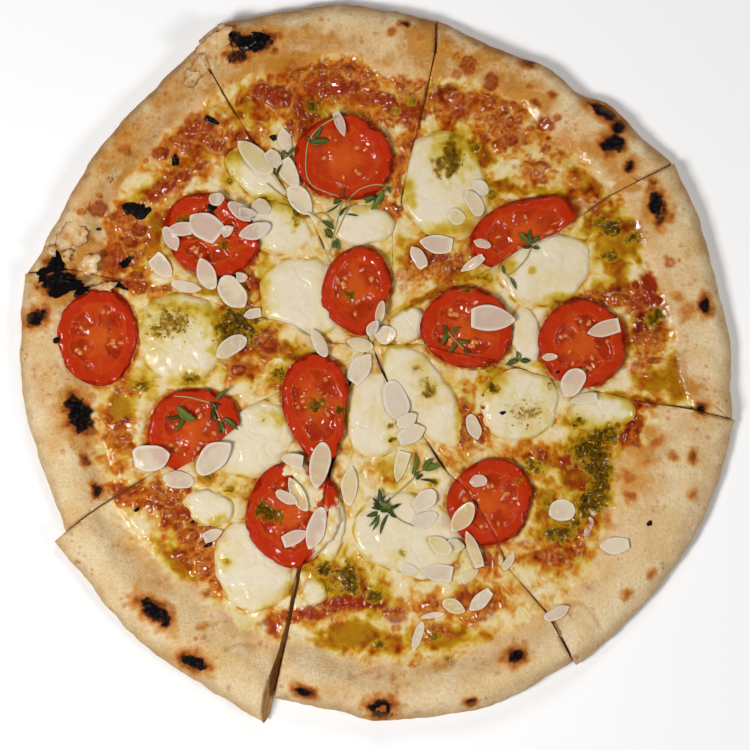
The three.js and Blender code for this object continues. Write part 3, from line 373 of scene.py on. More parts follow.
# Patches of olive oil on the melt
FILM = [
    (310, 107, 20, 18, 0, 0.7), (285, 92, 26, 12, 10, 0.3), (345, 100, 40, 10, 0, 0.25),
    (405, 100, 20, 12, 0, 0.4), (262, 120, 14, 16, 0, 0.3), (440, 95, 34, 14, 10, 0.7),
    (480, 150, 14, 22, 30, 0.85), (452, 155, 18, 32, 0, 0.6), (500, 186, 22, 8, -10, 0.8),
    (535, 190, 26, 7, -5, 0.6), (565, 197, 20, 9, 20, 0.5), (590, 185, 30, 10, -48, 0.55),
    (455, 226, 24, 11, 10, 0.7), (425, 250, 40, 22, 10, 0.35), (455, 272, 26, 16, 0, 0.45),
    (420, 300, 36, 5, 22, 0.6), (478, 100, 20, 14, 0, 0.3), (605, 222, 26, 20, 0, 0.8),
    (632, 235, 18, 26, 0, 0.75), (612, 255, 14, 20, 0, 0.6), (620, 280, 12, 28, 0, 0.7),
    (570, 300, 34, 9, 5, 0.7), (612, 292, 34, 13, 10, 0.7), (650, 325, 20, 34, 0, 0.75),
    (683, 375, 20, 26, 0, 0.85), (655, 380, 24, 12, -10, 0.6), (640, 400, 50, 6, -10, 0.6),
    (400, 345, 26, 4, 0, 0.6), (545, 362, 16, 8, 0, 0.3), (588, 468, 30, 46, -10, 0.9),
    (606, 438, 30, 14, 20, 0.85), (566, 466, 22, 14, 0, 0.5), (540, 458, 24, 9, 0, 0.45),
    (548, 505, 16, 26, 0, 0.65), (565, 533, 34, 14, 10, 0.8), (592, 515, 16, 22, 0, 0.8),
    (463, 420, 12, 34, 0, 0.35), (495, 380, 16, 12, 0, 0.5), (580, 422, 20, 10, 0, 0.5),
    (610, 425, 30, 10, 15, 0.5), (560, 558, 40, 14, 0, 0.3), (345, 583, 40, 24, -20, 0.8),
    (378, 603, 26, 16, -25, 0.7), (350, 637, 36, 18, 0, 0.9), (390, 645, 20, 14, 0, 0.6),
    (440, 637, 34, 14, 5, 0.7), (470, 600, 30, 20, 0, 0.35), (488, 640, 26, 10, 0, 0.3),
    (450, 664, 16, 7, 0, 0.5), (178, 560, 36, 9, -42, 0.7), (160, 500, 26, 12, -10, 0.4),
    (185, 530, 20, 30, 0, 0.4), (208, 478, 12, 8, 0, 0.4), (280, 418, 14, 10, 0, 0.4),
    (238, 326, 38, 22, -15, 0.75), (285, 348, 30, 12, -20, 0.7), (255, 348, 30, 14, 0, 0.5),
    (138, 386, 17, 11, 0, 0.6), (120, 410, 18, 20, 0, 0.7), (172, 326, 26, 18, 0, 0.4),
    (240, 372, 20, 12, 0, 0.3), (190, 380, 18, 8, 0, 0.5), (120, 440, 14, 26, 0, 0.2),
    (152, 232, 11, 30, 0, 0.75), (185, 165, 50, 12, 33, 0.4), (140, 195, 26, 12, 35, 0.35),
    (130, 255, 20, 20, 0, 0.5), (188, 309, 42, 8, -12, 0.7), (285, 205, 20, 14, 0, 0.4),
    (268, 200, 14, 8, 0, 0.5), (262, 275, 10, 34, 0, 0.25), (195, 125, 30, 10, 30, 0.3),
    (262, 160, 26, 10, -30, 0.45), (236, 338, 26, 16, 10, 0.7), (438, 162, 14, 22, 0, 0.5),
    (246, 104, 16, 30, -30, 0.5), (300, 70, 50, 8, 0, 0.4), (636, 404, 14, 10, 0, 0.5),
    (248, 162, 36, 14, -30, 0.8), (437, 238, 14, 10, 0, 0.5), (465, 212, 14, 10, 0, 0.6),
    (212, 290, 22, 8, -12, 0.5), (216, 518, 10, 8, 0, 0.8), (512, 266, 9, 10, 0, 0.6),
    (162, 262, 12, 10, 0, 0.6), (264, 168, 14, 14, 0, 0.5), (664, 312, 10, 14, 0, 0.8),
    (290, 590, 8, 12, 0, 0.6), (410, 192, 8, 18, 0, 0.6), (360, 212, 10, 8, 0, 0.5),
    (562, 514, 10, 10, 0, 0.5), (440, 236, 14, 8, 0, 0.5), (388, 474, 13, 20, 20, 0.35),
    (431, 482, 8, 6, 0, 0.6),
]

# Creases of the crust: points, depth and width in millimetres
CREASES = [
    ([(570, 120), (580, 110), (587, 105)], 0.7, 0.8), ([(625, 115), (630, 120), (633, 128)], 0.5, 0.7),
    ([(560, 610), (575, 602), (590, 610), (605, 632)], 1.0, 1.2),
    ([(690, 393), (710, 402), (733, 422)], 0.8, 0.6), ([(225, 650), (240, 643), (262, 647)], 1.0, 1.2),
    ([(345, 678), (380, 668), (437, 658)], 0.9, 1.1), ([(282, 62), (310, 68), (336, 76)], 1.2, 1.0),
    ([(150, 556), (190, 588), (230, 620), (262, 642)], 0.8, 1.0),
    ([(640, 262), (650, 285), (660, 310)], 0.6, 0.9), ([(75, 215), (90, 236), (112, 250)], 0.7, 0.9),
]

# Torn scraps of the crust's skin: spots with how far they bend up in millimetres and how burnt they are
SCRAPS = [
    (216, 44, 20, 10, 35, 0.8, 0.1), (204, 62, 15, 9, 60, 0.9, 0.35), (226, 33, 12, 7, -10, 0.8, 0.2),
    (193, 77, 12, 8, 50, 1.2, 0.3), (72, 236, 17, 13, 30, 1.8, 0.15), (60, 254, 14, 9, -20, 1.8, 0.4),
    (86, 264, 15, 11, 10, 1.4, 0.2), (103, 289, 13, 7, 20, 1.2, 0.3), (50, 273, 14, 7, 30, 1.1, 0.9),
    (66, 288, 18, 7, 20, 1.1, 1), (60, 266, 5, 15, 10, 1.2, 1), (78, 293, 14, 5, 10, 1.6, 1),
    (262, 38, 9, 4, -20, 1.2, 1), (248, 47, 10, 5, 20, 1.2, 0.9), (126, 262, 8, 4, 40, 1.0, 1),
    (118, 285, 10, 3, -20, 1.0, 0.9),
]

# Burnt scraps of leaf: place, half sizes and turn
BURNT_LEAVES = [
    (136, 210, 14, 9, -8), (211, 120, 8, 3.5, -25), (212, 208, 5, 4, 20), (175, 160, 4, 6, 0),
    (273, 137, 4, 3, -30), (503, 413, 3, 2, 0), (208, 545, 5, 2, 30), (136, 510, 3, 2, 40),
    (58, 340, 5, 3, 30), (98, 229, 3, 1.5, 0), (558, 372, 2, 1.5, 0), (649, 523, 3.2, 2.6, 30),
    (192, 522, 2, 1.5, 30),
]

# Melted cheese that has run over a tomato slice
CHEESE_OVER = [
    (306, 487, 30, 12, -54, 1), (297, 468, 14, 9, 0, 1), (338, 529, 42, 18, 60, 1), (326, 560, 18, 16, 0, 1),
]

# How strongly oil takes up red, green and blue
OIL_ABSORB = np.array([0.75, 1.35, 6.0])


def mixed(at, keys, rows):
    """Rows of numbers mixed straight between their keys, column by column."""
    return np.stack([np.interp(at, keys, column) for column in np.transpose(rows)], -1)


def ramp(value, stops):
    """Colour along a row of stops, straight between them in linear light."""
    keys, colours = zip(*stops)
    return mixed(value, keys, colours)


def place(points):
    """Millimetres from picture points: offset from the middle point times the scale, y turned up."""
    points = np.asarray(points, float)
    x = (points[..., 0] - MIDDLE_POINT[0]) * MM_PER_POINT
    y = (MIDDLE_POINT[1] - points[..., 1]) * MM_PER_POINT
    return np.stack([x, y], -1)


def tone(red, green, blue):
    """Linear colour from values of 0 to 255, by the usual display curve."""
    value = np.array([red, green, blue]) / 255
    return np.where(value <= 0.04045, value / 12.92, ((value + 0.055) / 1.055) ** 2.4)


def ease(low, high, value):
    """Smooth step: 0 below low, 1 above high, three t squared less two t cubed between."""
    t = np.clip((value - low) / (high - low), 0, 1)
    return t * t * (3 - 2 * t)


def blend(one, two, share):
    """Straight mix of two numbers."""
    return one + (two - one) * share


def lay(under, over, share):
    """Straight mix of two colours, one share for each point."""
    return under + (over - under) * np.asarray(share)[..., None]


def scramble(i, j, seed):
    """Repeatable number from 0 to 1 for each whole cell, by multiplying, shifting and xor."""
    bits = (i * 374761393 + j * 668265263 + seed * 1442695041) & 0xFFFFFFFF
    bits = ((bits ^ (bits >> 13)) * 1274126177) & 0xFFFFFFFF
    return ((bits ^ (bits >> 16)) & 0xFFFFFF) / 0xFFFFFF


def ripple(x, y, size, seed):
    """Gradient noise of about -1 to 1: a random slope at each cell corner, mixed by a soft step."""
    x = x / size
    y = y / size
    column = np.floor(x).astype(np.int64)
    row = np.floor(y).astype(np.int64)
    fx = x - column
    fy = y - row

    def corner(i, j):
        turn = scramble(column + i, row + j, seed) * 2 * np.pi
        return np.cos(turn) * (fx - i) + np.sin(turn) * (fy - j)

    sx = fx * fx * fx * (fx * (fx * 6 - 15) + 10)
    sy = fy * fy * fy * (fy * (fy * 6 - 15) + 10)
    low = corner(0, 0) + (corner(1, 0) - corner(0, 0)) * sx
    high = corner(0, 1) + (corner(1, 1) - corner(0, 1)) * sx
    return 1.5 * (low + (high - low) * sy)


def cloud(x, y, size, seed, layers=4):
    """Sum of ripples, each half as wide and half as high as the one before."""
    total = np.zeros(np.shape(x))
    for layer in range(layers):
        total = total + ripple(x, y, size / 2 ** layer, seed + 17 * layer) / 2 ** layer
    return total


def cells(x, y, size, seed):
    """Cell noise: distance to the nearest scattered point in cell widths, and that point's number."""
    x = x / size
    y = y / size
    column = np.floor(x).astype(np.int64)
    row = np.floor(y).astype(np.int64)
    nearest = np.full(np.shape(x), 9.0)
    number = np.zeros(np.shape(x))
    for i in (-1, 0, 1):
        for j in (-1, 0, 1):
            px = column + i + 0.15 + 0.7 * scramble(column + i, row + j, seed)
            py = row + j + 0.15 + 0.7 * scramble(column + i, row + j, seed + 5)
            away = np.hypot(x - px, y - py)
            closer = away < nearest
            nearest = np.where(closer, away, nearest)
            number = np.where(closer, scramble(column + i, row + j, seed + 9), number)
    return nearest, number


def turn_to(x, y, turn):
    """Offsets along a direction in radians and aside of it: the plane turned by that angle."""
    return x * np.cos(turn) + y * np.sin(turn), y * np.cos(turn) - x * np.sin(turn)


def grown(spot, factor, more, weight):
    """A spot with its half sizes times a factor plus some points, and another weight."""
    px, py, half_x, half_y, turn = spot[:5]
    return px, py, factor * half_x + more, factor * half_y + more, turn, weight


def spread(x, y, spots, ragged=0.3, grain=4.0, seed=0, soft=(0.55, 1.15)):
    """Mask of a list of spots: 1 inside each turned ellipse, easing to 0 over a noisy edge, times weight."""
    mask = np.zeros(np.shape(x))
    for number, (px, py, half_x, half_y, turn, weight) in enumerate(spots):
        middle = place((px, py))
        reach = 1.7 * max(half_x, half_y) * MM_PER_POINT + 1
        near = (np.abs(x - middle[0]) < reach) & (np.abs(y - middle[1]) < reach)
        if not near.any():
            continue
        along, aside = turn_to(x[near] - middle[0], y[near] - middle[1], np.radians(turn))
        away = np.hypot(along / (half_x * MM_PER_POINT), aside / (half_y * MM_PER_POINT))
        away = away + ragged * cloud(x[near], y[near], grain, seed + number, 3)
        mask[near] = np.maximum(mask[near], weight * (1 - ease(soft[0], soft[1], away)))
    return mask


def spline(points, t):
    """Smooth curve through evenly numbered points (Catmull-Rom), t from 0 to 1, with the ends doubled."""
    points = np.asarray(points, float)
    last = len(points) - 1
    at = np.clip(t, 0, 1) * last
    low = np.minimum(at.astype(int), last - 1)
    f = at - low
    if points.ndim > 1:
        f = f[..., None]
    before = points[np.maximum(low - 1, 0)]
    start = points[low]
    end = points[low + 1]
    after = points[np.minimum(low + 2, last)]
    bend = 2 * before - 5 * start + 4 * end - after
    twist = 3 * start - before - 3 * end + after
    return 0.5 * (2 * start + (end - before) * f + bend * f * f + twist * f * f * f)


def smoothed(values):
    """Running mean of nine values, with the end values repeated."""
    return np.convolve(np.pad(values, 4, "edge"), np.full(9, 1 / 9), "valid")


def cut_line(points):
    """A cut as dense points: straight runs at every half millimetre, averaged over four millimetres."""
    corners = place([CENTRE] + points)
    steps = np.hypot(*np.diff(corners, axis=0).T)
    length = np.concatenate([[0], np.cumsum(steps)])
    at = np.linspace(0, length[-1], int(length[-1] * 2))
    line = mixed(at, length, corners)
    smooth = np.stack([smoothed(column) for column in line.T], -1)
    smooth[0] = line[0]
    return smooth


CUT_LINES = [cut_line(points) for points in CUTS]


def across(line):
    """Unit vectors pointing clockwise across a cut, from the differences along it."""
    way = np.gradient(line, axis=0)
    way = way / np.linalg.norm(way, axis=1, keepdims=True)
    return np.stack([way[:, 1], -way[:, 0]], -1)


def beside(line, share, aside):
    """Points on a cut at shares of its length, moved clockwise by a distance."""
    at = share * (len(line) - 1)
    steps = np.arange(len(line))
    return mixed(at, steps, line) + mixed(at, steps, across(line)) * aside[..., None]


def past_cut(line, x, y):
    """Distance clockwise past a cut: offset from its nearest point along the line across it."""
    points = np.stack([np.ravel(x), np.ravel(y)], -1)
    coarse = line[::3]
    away = ((points[:, None, :] - coarse[None]) ** 2).sum(-1)
    nearest = away.argmin(1)
    offset = points - coarse[nearest]
    return (offset * across(coarse)[nearest]).sum(-1).reshape(np.shape(x))


def make_slice(index):
    """A slice's two cuts, its edge, the shares of the cuts it uses and its length."""
    name, crown, lean, rim, edge = SLICES[index]
    cuts = (index, (index + 1) % len(CUTS))
    left, right = [CUT_LINES[cut] for cut in cuts]
    edge = place(edge)
    ends = []
    for line, point in ((left, edge[0]), (right, edge[-1])):
        away = np.hypot(*(line - point).T)
        ends.append(away.argmin() / (len(line) - 1))
    length = np.hypot(*(spline(edge, np.array(0.5)) - left[0]))
    return {"name": name, "crown": crown, "lean": lean, "rim": np.array(rim, float), "edge": edge,
            "left": left, "right": right, "cuts": cuts, "ends": ends, "length": length}


SLICE = {spec[0]: make_slice(index) for index, spec in enumerate(SLICES)}


def gape(x, y):
    """Extra opening of a cut in millimetres: the sum of bells around the places where it gapes."""
    wide = 0 * x
    for px, py, reach, opening in SLITS:
        middle = place((px, py))
        away = np.hypot(x - middle[0], y - middle[1]) / (reach * MM_PER_POINT)
        wide = wide + opening * np.exp(-away ** 2)
    return wide


def cut_open(cut, share):
    """How open a cut is at a share of its length, 0 to 1: a slow noise along it, fully open on the rim."""
    along = share * len(CUT_LINES[cut]) / 2
    free = cloud(along, 0 * along + 3.3, 15, 900 + cut, 2)
    return ease(0.1, 0.7, free + 1.1 * ease(0.66, 0.8, share))


def slice_place(part, u, v, slack=1.0):
    """Point of a slice: mix by u of the two cuts at share v, each set back by its gap where it is open, plus
    v times the bow of the outer edge over its chord. `slack` is the share of the gap that is kept."""
    sides = []
    for side, line, cut, end in zip((1, -1), (part["left"], part["right"]), part["cuts"], part["ends"]):
        opened = ease(0, 0.03, v) * blend(0.1, 1, cut_open(cut, v * end)) * slack
        middle = beside(line, v * end, 0 * v)
        wide = gape(middle[..., 0], middle[..., 1])
        sides.append(beside(line, v * end, side * (CUT_GAPS[cut] * opened + wide)))
    left, right = sides
    edge = part["edge"]
    bow = spline(edge, u) - (edge[0] + (edge[-1] - edge[0]) * u[..., None])
    return left + (right - left) * u[..., None] + v[..., None] * bow


def rim_foot(part, u):
    """Share of the way out at which the rim begins: one less its width over the slice's length."""
    return 1 - spline(part["rim"], u) / part["length"]


def crown_height(part, u):
    """Height of the rim's crown along the slice: its own height with a slow wave of 6 %."""
    return part["crown"] * (1 + 0.06 * np.sin(7 * u + part["crown"]))


# The rim's section as a dense curve, and how many of its steps lead up to its crest
SECTION_STEPS = np.linspace(0, 1, 400)
SECTION_CURVE = spline(RIM_SECTION, SECTION_STEPS)
CREST = 200


def crease_mask(x, y):
    """Creases of the crust as depth in millimetres and painted shade: along each smooth line a trough, a
    bell of the distance over its width."""
    deep, dark = np.zeros((2,) + np.shape(x))
    for points, depth, width in CREASES:
        line = spline(place(points), np.linspace(0, 1, 60))
        low = line.min(0) - 5
        high = line.max(0) + 5
        near = (x > low[0]) & (x < high[0]) & (y > low[1]) & (y < high[1])
        if not near.any():
            continue
        gap = np.hypot(x[near][:, None] - line[:, 0], y[near][:, None] - line[:, 1])
        at = gap.argmin(1) / (len(line) - 1)
        trough = np.exp(-(gap.min(1) / width) ** 2) * ease(0, 0.15, at) * ease(0, 0.15, 1 - at)
        deep[near] = np.maximum(deep[near], depth * trough)
        dark[near] = np.maximum(dark[near], trough ** 2)
    return deep, dark


def dough_swell(x, y):
    """Rise and fall of the baked dough: slow clouds, small bubbles, blown-up char spots and creases."""
    rise = 0.8 * cloud(x, y, 24, 3, 3) + 0.35 * cloud(x, y, 8, 5, 3)
    away, number = cells(x + 1.5 * cloud(x, y, 9, 31, 2), y + 1.5 * cloud(x, y, 9, 32, 2), 9, 41)
    rise += 0.5 * number * (1 - ease(0.1, 0.55, away))
    for spot in CHAR:
        blown = spot[-1]
        rise += 0.8 * spread(x, y, [grown(spot, 1.35, 0, blown)], 0.2, 5, 60, (0.1, 1.1))
    return rise + 0.12 * cloud(x, y, 2.4, 8, 2) - crease_mask(x, y)[0] + 0.8 * bake_blisters(x, y)[0]


def dough_height(part, u, share, x, y):
    """Height of the dough on the inner slope of the rim: the section at this share of the rim's width."""
    level = np.interp(share, SECTION_CURVE[:CREST, 0], SECTION_CURVE[:CREST, 1])
    return level * crown_height(part, u) + dough_swell(x, y) * ease(0.3, 0.8, level)


def shell_faces(rows, columns, turned=False):
    """Quads of a grid of rows and columns, wound so that rows by columns, or columns by rows, point up."""
    index = np.arange(rows * columns).reshape(rows, columns)
    a = index[:-1, :-1].ravel()
    b = index[:-1, 1:].ravel()
    c = index[1:, 1:].ravel()
    d = index[1:, :-1].ravel()
    return np.stack([a, d, c, b] if turned else [a, b, c, d], -1)


def weld(points, quads, polygons, layers):
    """Merge points that coincide to a tenth of a micrometre and shorten the quads that this folds."""
    keys = np.round(points * 1e4).astype(np.int64)
    _, first, number = np.unique(keys, axis=0, return_index=True, return_inverse=True)
    number = number.ravel()
    quads = number[quads]
    same = quads == np.roll(quads, -1, axis=1)
    folds = same.sum(1)
    whole = quads[folds == 0]
    triangles = []
    for corner in range(4):
        folded = quads[(folds == 1) & same[:, corner]]
        triangles.append(np.delete(folded, corner, axis=1))
    triangles = np.concatenate(triangles)
    sound = (triangles[:, 0] != triangles[:, 2])
    shapes = []
    for polygon in polygons:
        ring = number[polygon]
        shapes.append(ring[ring != np.roll(ring, -1)])
    return points[first], whole, triangles[sound], shapes, [layer[first] for layer in layers]


def make_piece(name, points, quads, polygons, tint, wet, material, node=None):
    """A mesh object in metres from points in millimetres, faces, a colour for each point and a wetness, for
    each point or for all."""
    wet = np.full(len(points), wet)
    points, quads, triangles, shapes, (tint, wet) = weld(points, quads, polygons, [tint, wet])
    corners = np.concatenate([quads.ravel(), triangles.ravel()] + shapes).astype(np.int32)
    sizes = np.concatenate([np.full(len(quads), 4), np.full(len(triangles), 3), [len(s) for s in shapes]])
    starts = np.concatenate([[0], np.cumsum(sizes)[:-1]]).astype(np.int32)
    mesh = bpy.data.meshes.new(name)
    mesh.vertices.add(len(points))
    mesh.vertices.foreach_set("co", (points * METRE).astype(np.float32).ravel())
    mesh.loops.add(len(corners))
    mesh.loops.foreach_set("vertex_index", corners)
    mesh.polygons.add(len(starts))
    mesh.polygons.foreach_set("loop_start", starts)
    mesh.update(calc_edges=True)
    mesh.validate()
    mesh.polygons.foreach_set("use_smooth", np.ones(len(mesh.polygons), bool))
    colour = mesh.attributes.new("tint", "FLOAT_COLOR", "POINT")
    rgba = np.concatenate([np.clip(tint, 0, 1), np.ones((len(tint), 1))], 1)
    colour.data.foreach_set("color", rgba.astype(np.float32).ravel())
    film = mesh.attributes.new("wet", "FLOAT", "POINT")
    film.data.foreach_set("value", wet.astype(np.float32))
    mesh.materials.append(material)
    piece = bpy.data.objects.new(name, mesh)
    bpy.context.scene.collection.objects.link(piece)
    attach(piece, "root")
    if node:
        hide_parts(node)


# Height and colour of what is built so far, on a grid seen from above, for things that lie on it
GROUND_STEP = 0.6
GROUND_HALF = 170
GROUND_CELLS = int(2 * GROUND_HALF / GROUND_STEP) + 1
ground = np.zeros((GROUND_CELLS, GROUND_CELLS))
ground_tint = np.tile(tone(222, 203, 156), (GROUND_CELLS, GROUND_CELLS, 1))


def ground_cell(x, y):
    """Row and column of the ground's nearest cell at points."""
    cell = np.round((np.stack([y, x]) + GROUND_HALF) / GROUND_STEP)
    return tuple(np.clip(cell, 0, GROUND_CELLS - 1).astype(int))


def stamp(points, tint):
    """Raise the ground grid to the points that lie above it, each in its own cell, and keep their colour."""
    row, column = ground_cell(points[:, 0], points[:, 1])
    np.maximum.at(ground, (row, column), points[:, 2])
    top = points[:, 2] >= ground[row, column] - 1e-6
    ground_tint[row[top], column[top]] = tint[top]


def close_ground():
    """Fill cells that no point fell in: a cell far below the mean of its neighbours takes that mean."""
    for _ in range(2):
        around = [np.roll(ground, shift, axis) for shift in (-1, 1) for axis in (0, 1)]
        mean = np.mean(around, axis=0)
        low = ground < mean - 1.2
        ground[low] = mean[low]


def ground_colour(x, y):
    """Colour of the ground's nearest cell at points."""
    return ground_tint[ground_cell(x, y)]


def ground_height(x, y):
    """Height of the ground at points, mixed from the four cells around each."""
    column = np.clip((x + GROUND_HALF) / GROUND_STEP, 0, GROUND_CELLS - 1.01)
    row = np.clip((y + GROUND_HALF) / GROUND_STEP, 0, GROUND_CELLS - 1.01)
    i = column.astype(int)
    j = row.astype(int)
    fx = column - i
    fy = row - j
    low = ground[j, i] * (1 - fx) + ground[j, i + 1] * fx
    high = ground[j + 1, i] * (1 - fx) + ground[j + 1, i + 1] * fx
    return low * (1 - fy) + high * fy


COLOUR_SOCKET = "NodeSocketColor"
NUMBER_SOCKET = "NodeSocketFloat"


def set_inputs(node, values):
    """Values of a node's inputs."""
    for key, value in values.items():
        node.inputs[key].default_value = value


def add_node(tree, kind, values=None, **settings):
    """A node with its settings and the values of its inputs."""
    node = tree.nodes.new(kind)
    for key, value in settings.items():
        setattr(node, key, value)
    set_inputs(node, values or {})
    return node


def wire(tree, *runs):
    """Links of a node tree, each from a node's output to a node's input."""
    for start, leaving, end, entering in runs:
        tree.links.new(start.outputs[leaving], end.inputs[entering])


def new_group(name, inputs, outputs):
    """A node group with named sockets, its entry and its exit."""
    tree = bpy.data.node_groups.new(name, "ShaderNodeTree")
    for way, sockets in (("INPUT", inputs), ("OUTPUT", outputs)):
        for socket, kind in sockets.items():
            tree.interface.new_socket(socket, in_out=way, socket_type=kind)
    return tree, add_node(tree, "NodeGroupInput"), add_node(tree, "NodeGroupOutput")


def mottle_group():
    """Node group: a colour varied by a fine noise, and a height of the same grain."""
    inputs = {"Colour": COLOUR_SOCKET, "Grain": NUMBER_SOCKET, "Amount": NUMBER_SOCKET}
    outputs = {"Colour": COLOUR_SOCKET, "Height": NUMBER_SOCKET}
    tree, entry, leave = new_group("food_grain", inputs, outputs)
    where = add_node(tree, "ShaderNodeTexCoord")
    fine = add_node(tree, "ShaderNodeTexNoise", {"Detail": 4, "Roughness": 0.62}, noise_dimensions="3D")
    swing = add_node(tree, "ShaderNodeMath", {1: 0.5}, operation="SUBTRACT")
    strength = add_node(tree, "ShaderNodeMath", {2: 1}, operation="MULTIPLY_ADD")
    colour = add_node(tree, "ShaderNodeVectorMath", operation="SCALE")
    wire(
        tree, (where, "Object", fine, "Vector"), (entry, "Grain", fine, "Scale"), (fine, "Fac", swing, 0),
        (swing, 0, strength, 0), (entry, "Amount", strength, 1), (entry, "Colour", colour, 0),
        (strength, 0, colour, "Scale"), (colour, 0, leave, "Colour"), (fine, "Fac", leave, "Height"),
    )
    return tree


def film_group():
    """Node group: roughness and gloss coat from a wetness broken up by a patchy noise."""
    names = ("Wetness", "Dry roughness", "Wet roughness", "Patches")
    outputs = {"Roughness": NUMBER_SOCKET, "Coat": NUMBER_SOCKET}
    tree, entry, leave = new_group("oily_film", dict.fromkeys(names, NUMBER_SOCKET), outputs)
    where = add_node(tree, "ShaderNodeTexCoord")
    noise = add_node(tree, "ShaderNodeTexNoise", {"Detail": 3}, noise_dimensions="3D")
    patch = add_node(tree, "ShaderNodeMapRange", {"From Min": 0.3, "From Max": 0.65, "To Min": 0.1})
    film = add_node(tree, "ShaderNodeMath", operation="MULTIPLY", use_clamp=True)
    rough = add_node(tree, "ShaderNodeMapRange")
    wire(
        tree, (where, "Object", noise, "Vector"), (entry, "Patches", noise, "Scale"),
        (noise, "Fac", patch, "Value"), (patch, "Result", film, 0), (entry, "Wetness", film, 1),
        (film, 0, rough, "Value"), (entry, "Dry roughness", rough, "To Min"),
        (entry, "Wet roughness", rough, "To Max"), (rough, "Result", leave, "Roughness"),
        (film, 0, leave, "Coat"),
    )
    return tree


FOOD_GRAIN = mottle_group()
OILY_FILM = film_group()


def food_material(name, grain, amount, relief, dry, wet, patches,
                  scatter=0.0, depth=(1, 0.5, 0.25), scale=0.002):
    """Painted colour with a fine grain, a bump of the same grain and a gloss where it is wet. `relief`
    is the bump's height in metres; `scatter` is the share of light that goes under the surface."""
    material = bpy.data.materials.new(name)
    material.use_nodes = True
    tree = material.node_tree
    shader = tree.nodes["Principled BSDF"]
    tint = add_node(tree, "ShaderNodeAttribute", attribute_name="tint")
    wetness = add_node(tree, "ShaderNodeAttribute", attribute_name="wet")
    mottle = add_node(tree, "ShaderNodeGroup", node_tree=FOOD_GRAIN)
    set_inputs(mottle, {"Grain": grain, "Amount": amount})
    film = add_node(tree, "ShaderNodeGroup", node_tree=OILY_FILM)
    set_inputs(film, {"Dry roughness": dry, "Wet roughness": wet, "Patches": patches})
    bump = add_node(tree, "ShaderNodeBump", {"Strength": 1, "Distance": relief})
    wire(
        tree, (tint, "Color", mottle, "Colour"), (wetness, "Fac", film, "Wetness"),
        (mottle, "Height", bump, "Height"), (mottle, "Colour", shader, "Base Color"),
        (film, "Roughness", shader, "Roughness"), (film, "Coat", shader, "Coat Weight"),
        (bump, "Normal", shader, "Normal"),
    )
    set_inputs(shader, {
        "Coat Roughness": 0.08, "Coat IOR": 1.5, "Specular IOR Level": 0.04, "Subsurface Weight": scatter,
        "Subsurface Radius": depth, "Subsurface Scale": scale,
    })
    return material


BAKED_DOUGH = food_material("baked_dough", 1100, 0.45, 0.0006, 0.85, 0.45, 300)
MELTED_CHEESE = food_material("melted_cheese", 1100, 0.4, 0.0003, 0.5, 0.2, 260)
SOFT_MOZZARELLA = food_material(
    "soft_mozzarella", 700, 0.1, 0.0002, 0.5, 0.25, 150, 0.2, (1, 0.9, 0.6), 0.003)
CUT_TOMATO = food_material(
    "cut_tomato", 1400, 0.25, 0.0002, 0.35, 0.15, 350, 0.1, (1, 0.25, 0.1), 0.002)
SLICED_ALMOND = food_material(
    "sliced_almond", 1500, 0.12, 0.0001, 0.55, 0.3, 300, 0.1, (1, 0.8, 0.6), 0.001)
CHOPPED_PESTO = food_material("chopped_pesto", 2600, 0.5, 0.0002, 0.5, 0.2, 500)
THYME_GREEN = food_material("thyme_green", 2400, 0.35, 0.0001, 0.6, 0.35, 600)

# Colours
CRUST_PALE = tone(222, 194, 148)
CRUST_GOLD = tone(213, 174, 114)
CRUST_FLOUR = tone(229, 207, 167)
CRUST_AMBER = tone(203, 142, 62)
CRUST_TOAST = tone(190, 128, 44)
CRUST_TAN = tone(178, 94, 34)
CRUST_BROWN = tone(112, 52, 18)
# Painted shade for the rim's outer edge
CRUST_EDGE_SHADE = tone(158, 104, 58)
CRUMB_PALE = tone(212, 176, 120)
CRUMB_TAN = tone(170, 116, 60)
# Painted shade along the cuts
CUT_SHADE_BROWN = tone(140, 82, 30)
CHAR_BLACK = tone(13, 10, 11)
CHAR_BROWN = tone(58, 28, 20)
CHAR_ASH = tone(66, 50, 44)
SEAM_RED = tone(172, 76, 24)
SAUCE_RED = tone(142, 35, 8)
MOZZARELLA_WHITE = tone(223, 210, 183)
MOZZARELLA_WARM = tone(218, 198, 150)
TOMATO_RED = tone(180, 44, 8)
TOMATO_SKIN = tone(150, 22, 4)
TOMATO_FLESH = tone(184, 56, 12)
TOMATO_CORE = tone(196, 80, 22)
TOMATO_GEL = tone(150, 34, 4)
SEED_PALE = tone(218, 146, 66)
ALMOND_IVORY = tone(216, 203, 180)
ALMOND_ROSE = tone(203, 185, 168)
# Painted highlight for the rim of the almond flakes
ALMOND_RIM_HIGHLIGHT = tone(230, 221, 204)
ALMOND_OILY = tone(206, 186, 126)
NUT_GOLD = tone(186, 148, 62)
HERB_DARK = tone(44, 38, 12)
STEM_TAN = tone(172, 152, 92)
LEAF_DARK = tone(40, 48, 14)
LEAF_PALE = tone(98, 114, 46)
LEAF_RIB = tone(124, 130, 62)

# Colours of the cheese from cool to burnt, and of the pesto from thin to thick
MELT_STOPS = [
    (0.0, tone(224, 208, 170)), (0.2, tone(217, 186, 120)), (0.4, tone(206, 148, 62)),
    (0.55, tone(196, 118, 34)), (0.7, tone(178, 88, 20)), (0.85, tone(150, 56, 12)), (1.0, tone(122, 35, 8)),
    (1.2, tone(80, 20, 6)),
]
PESTO_STOPS = [
    (0.0, tone(204, 168, 44)), (0.3, tone(160, 118, 6)), (0.6, tone(108, 76, 4)), (1.0, tone(70, 47, 3)),
]


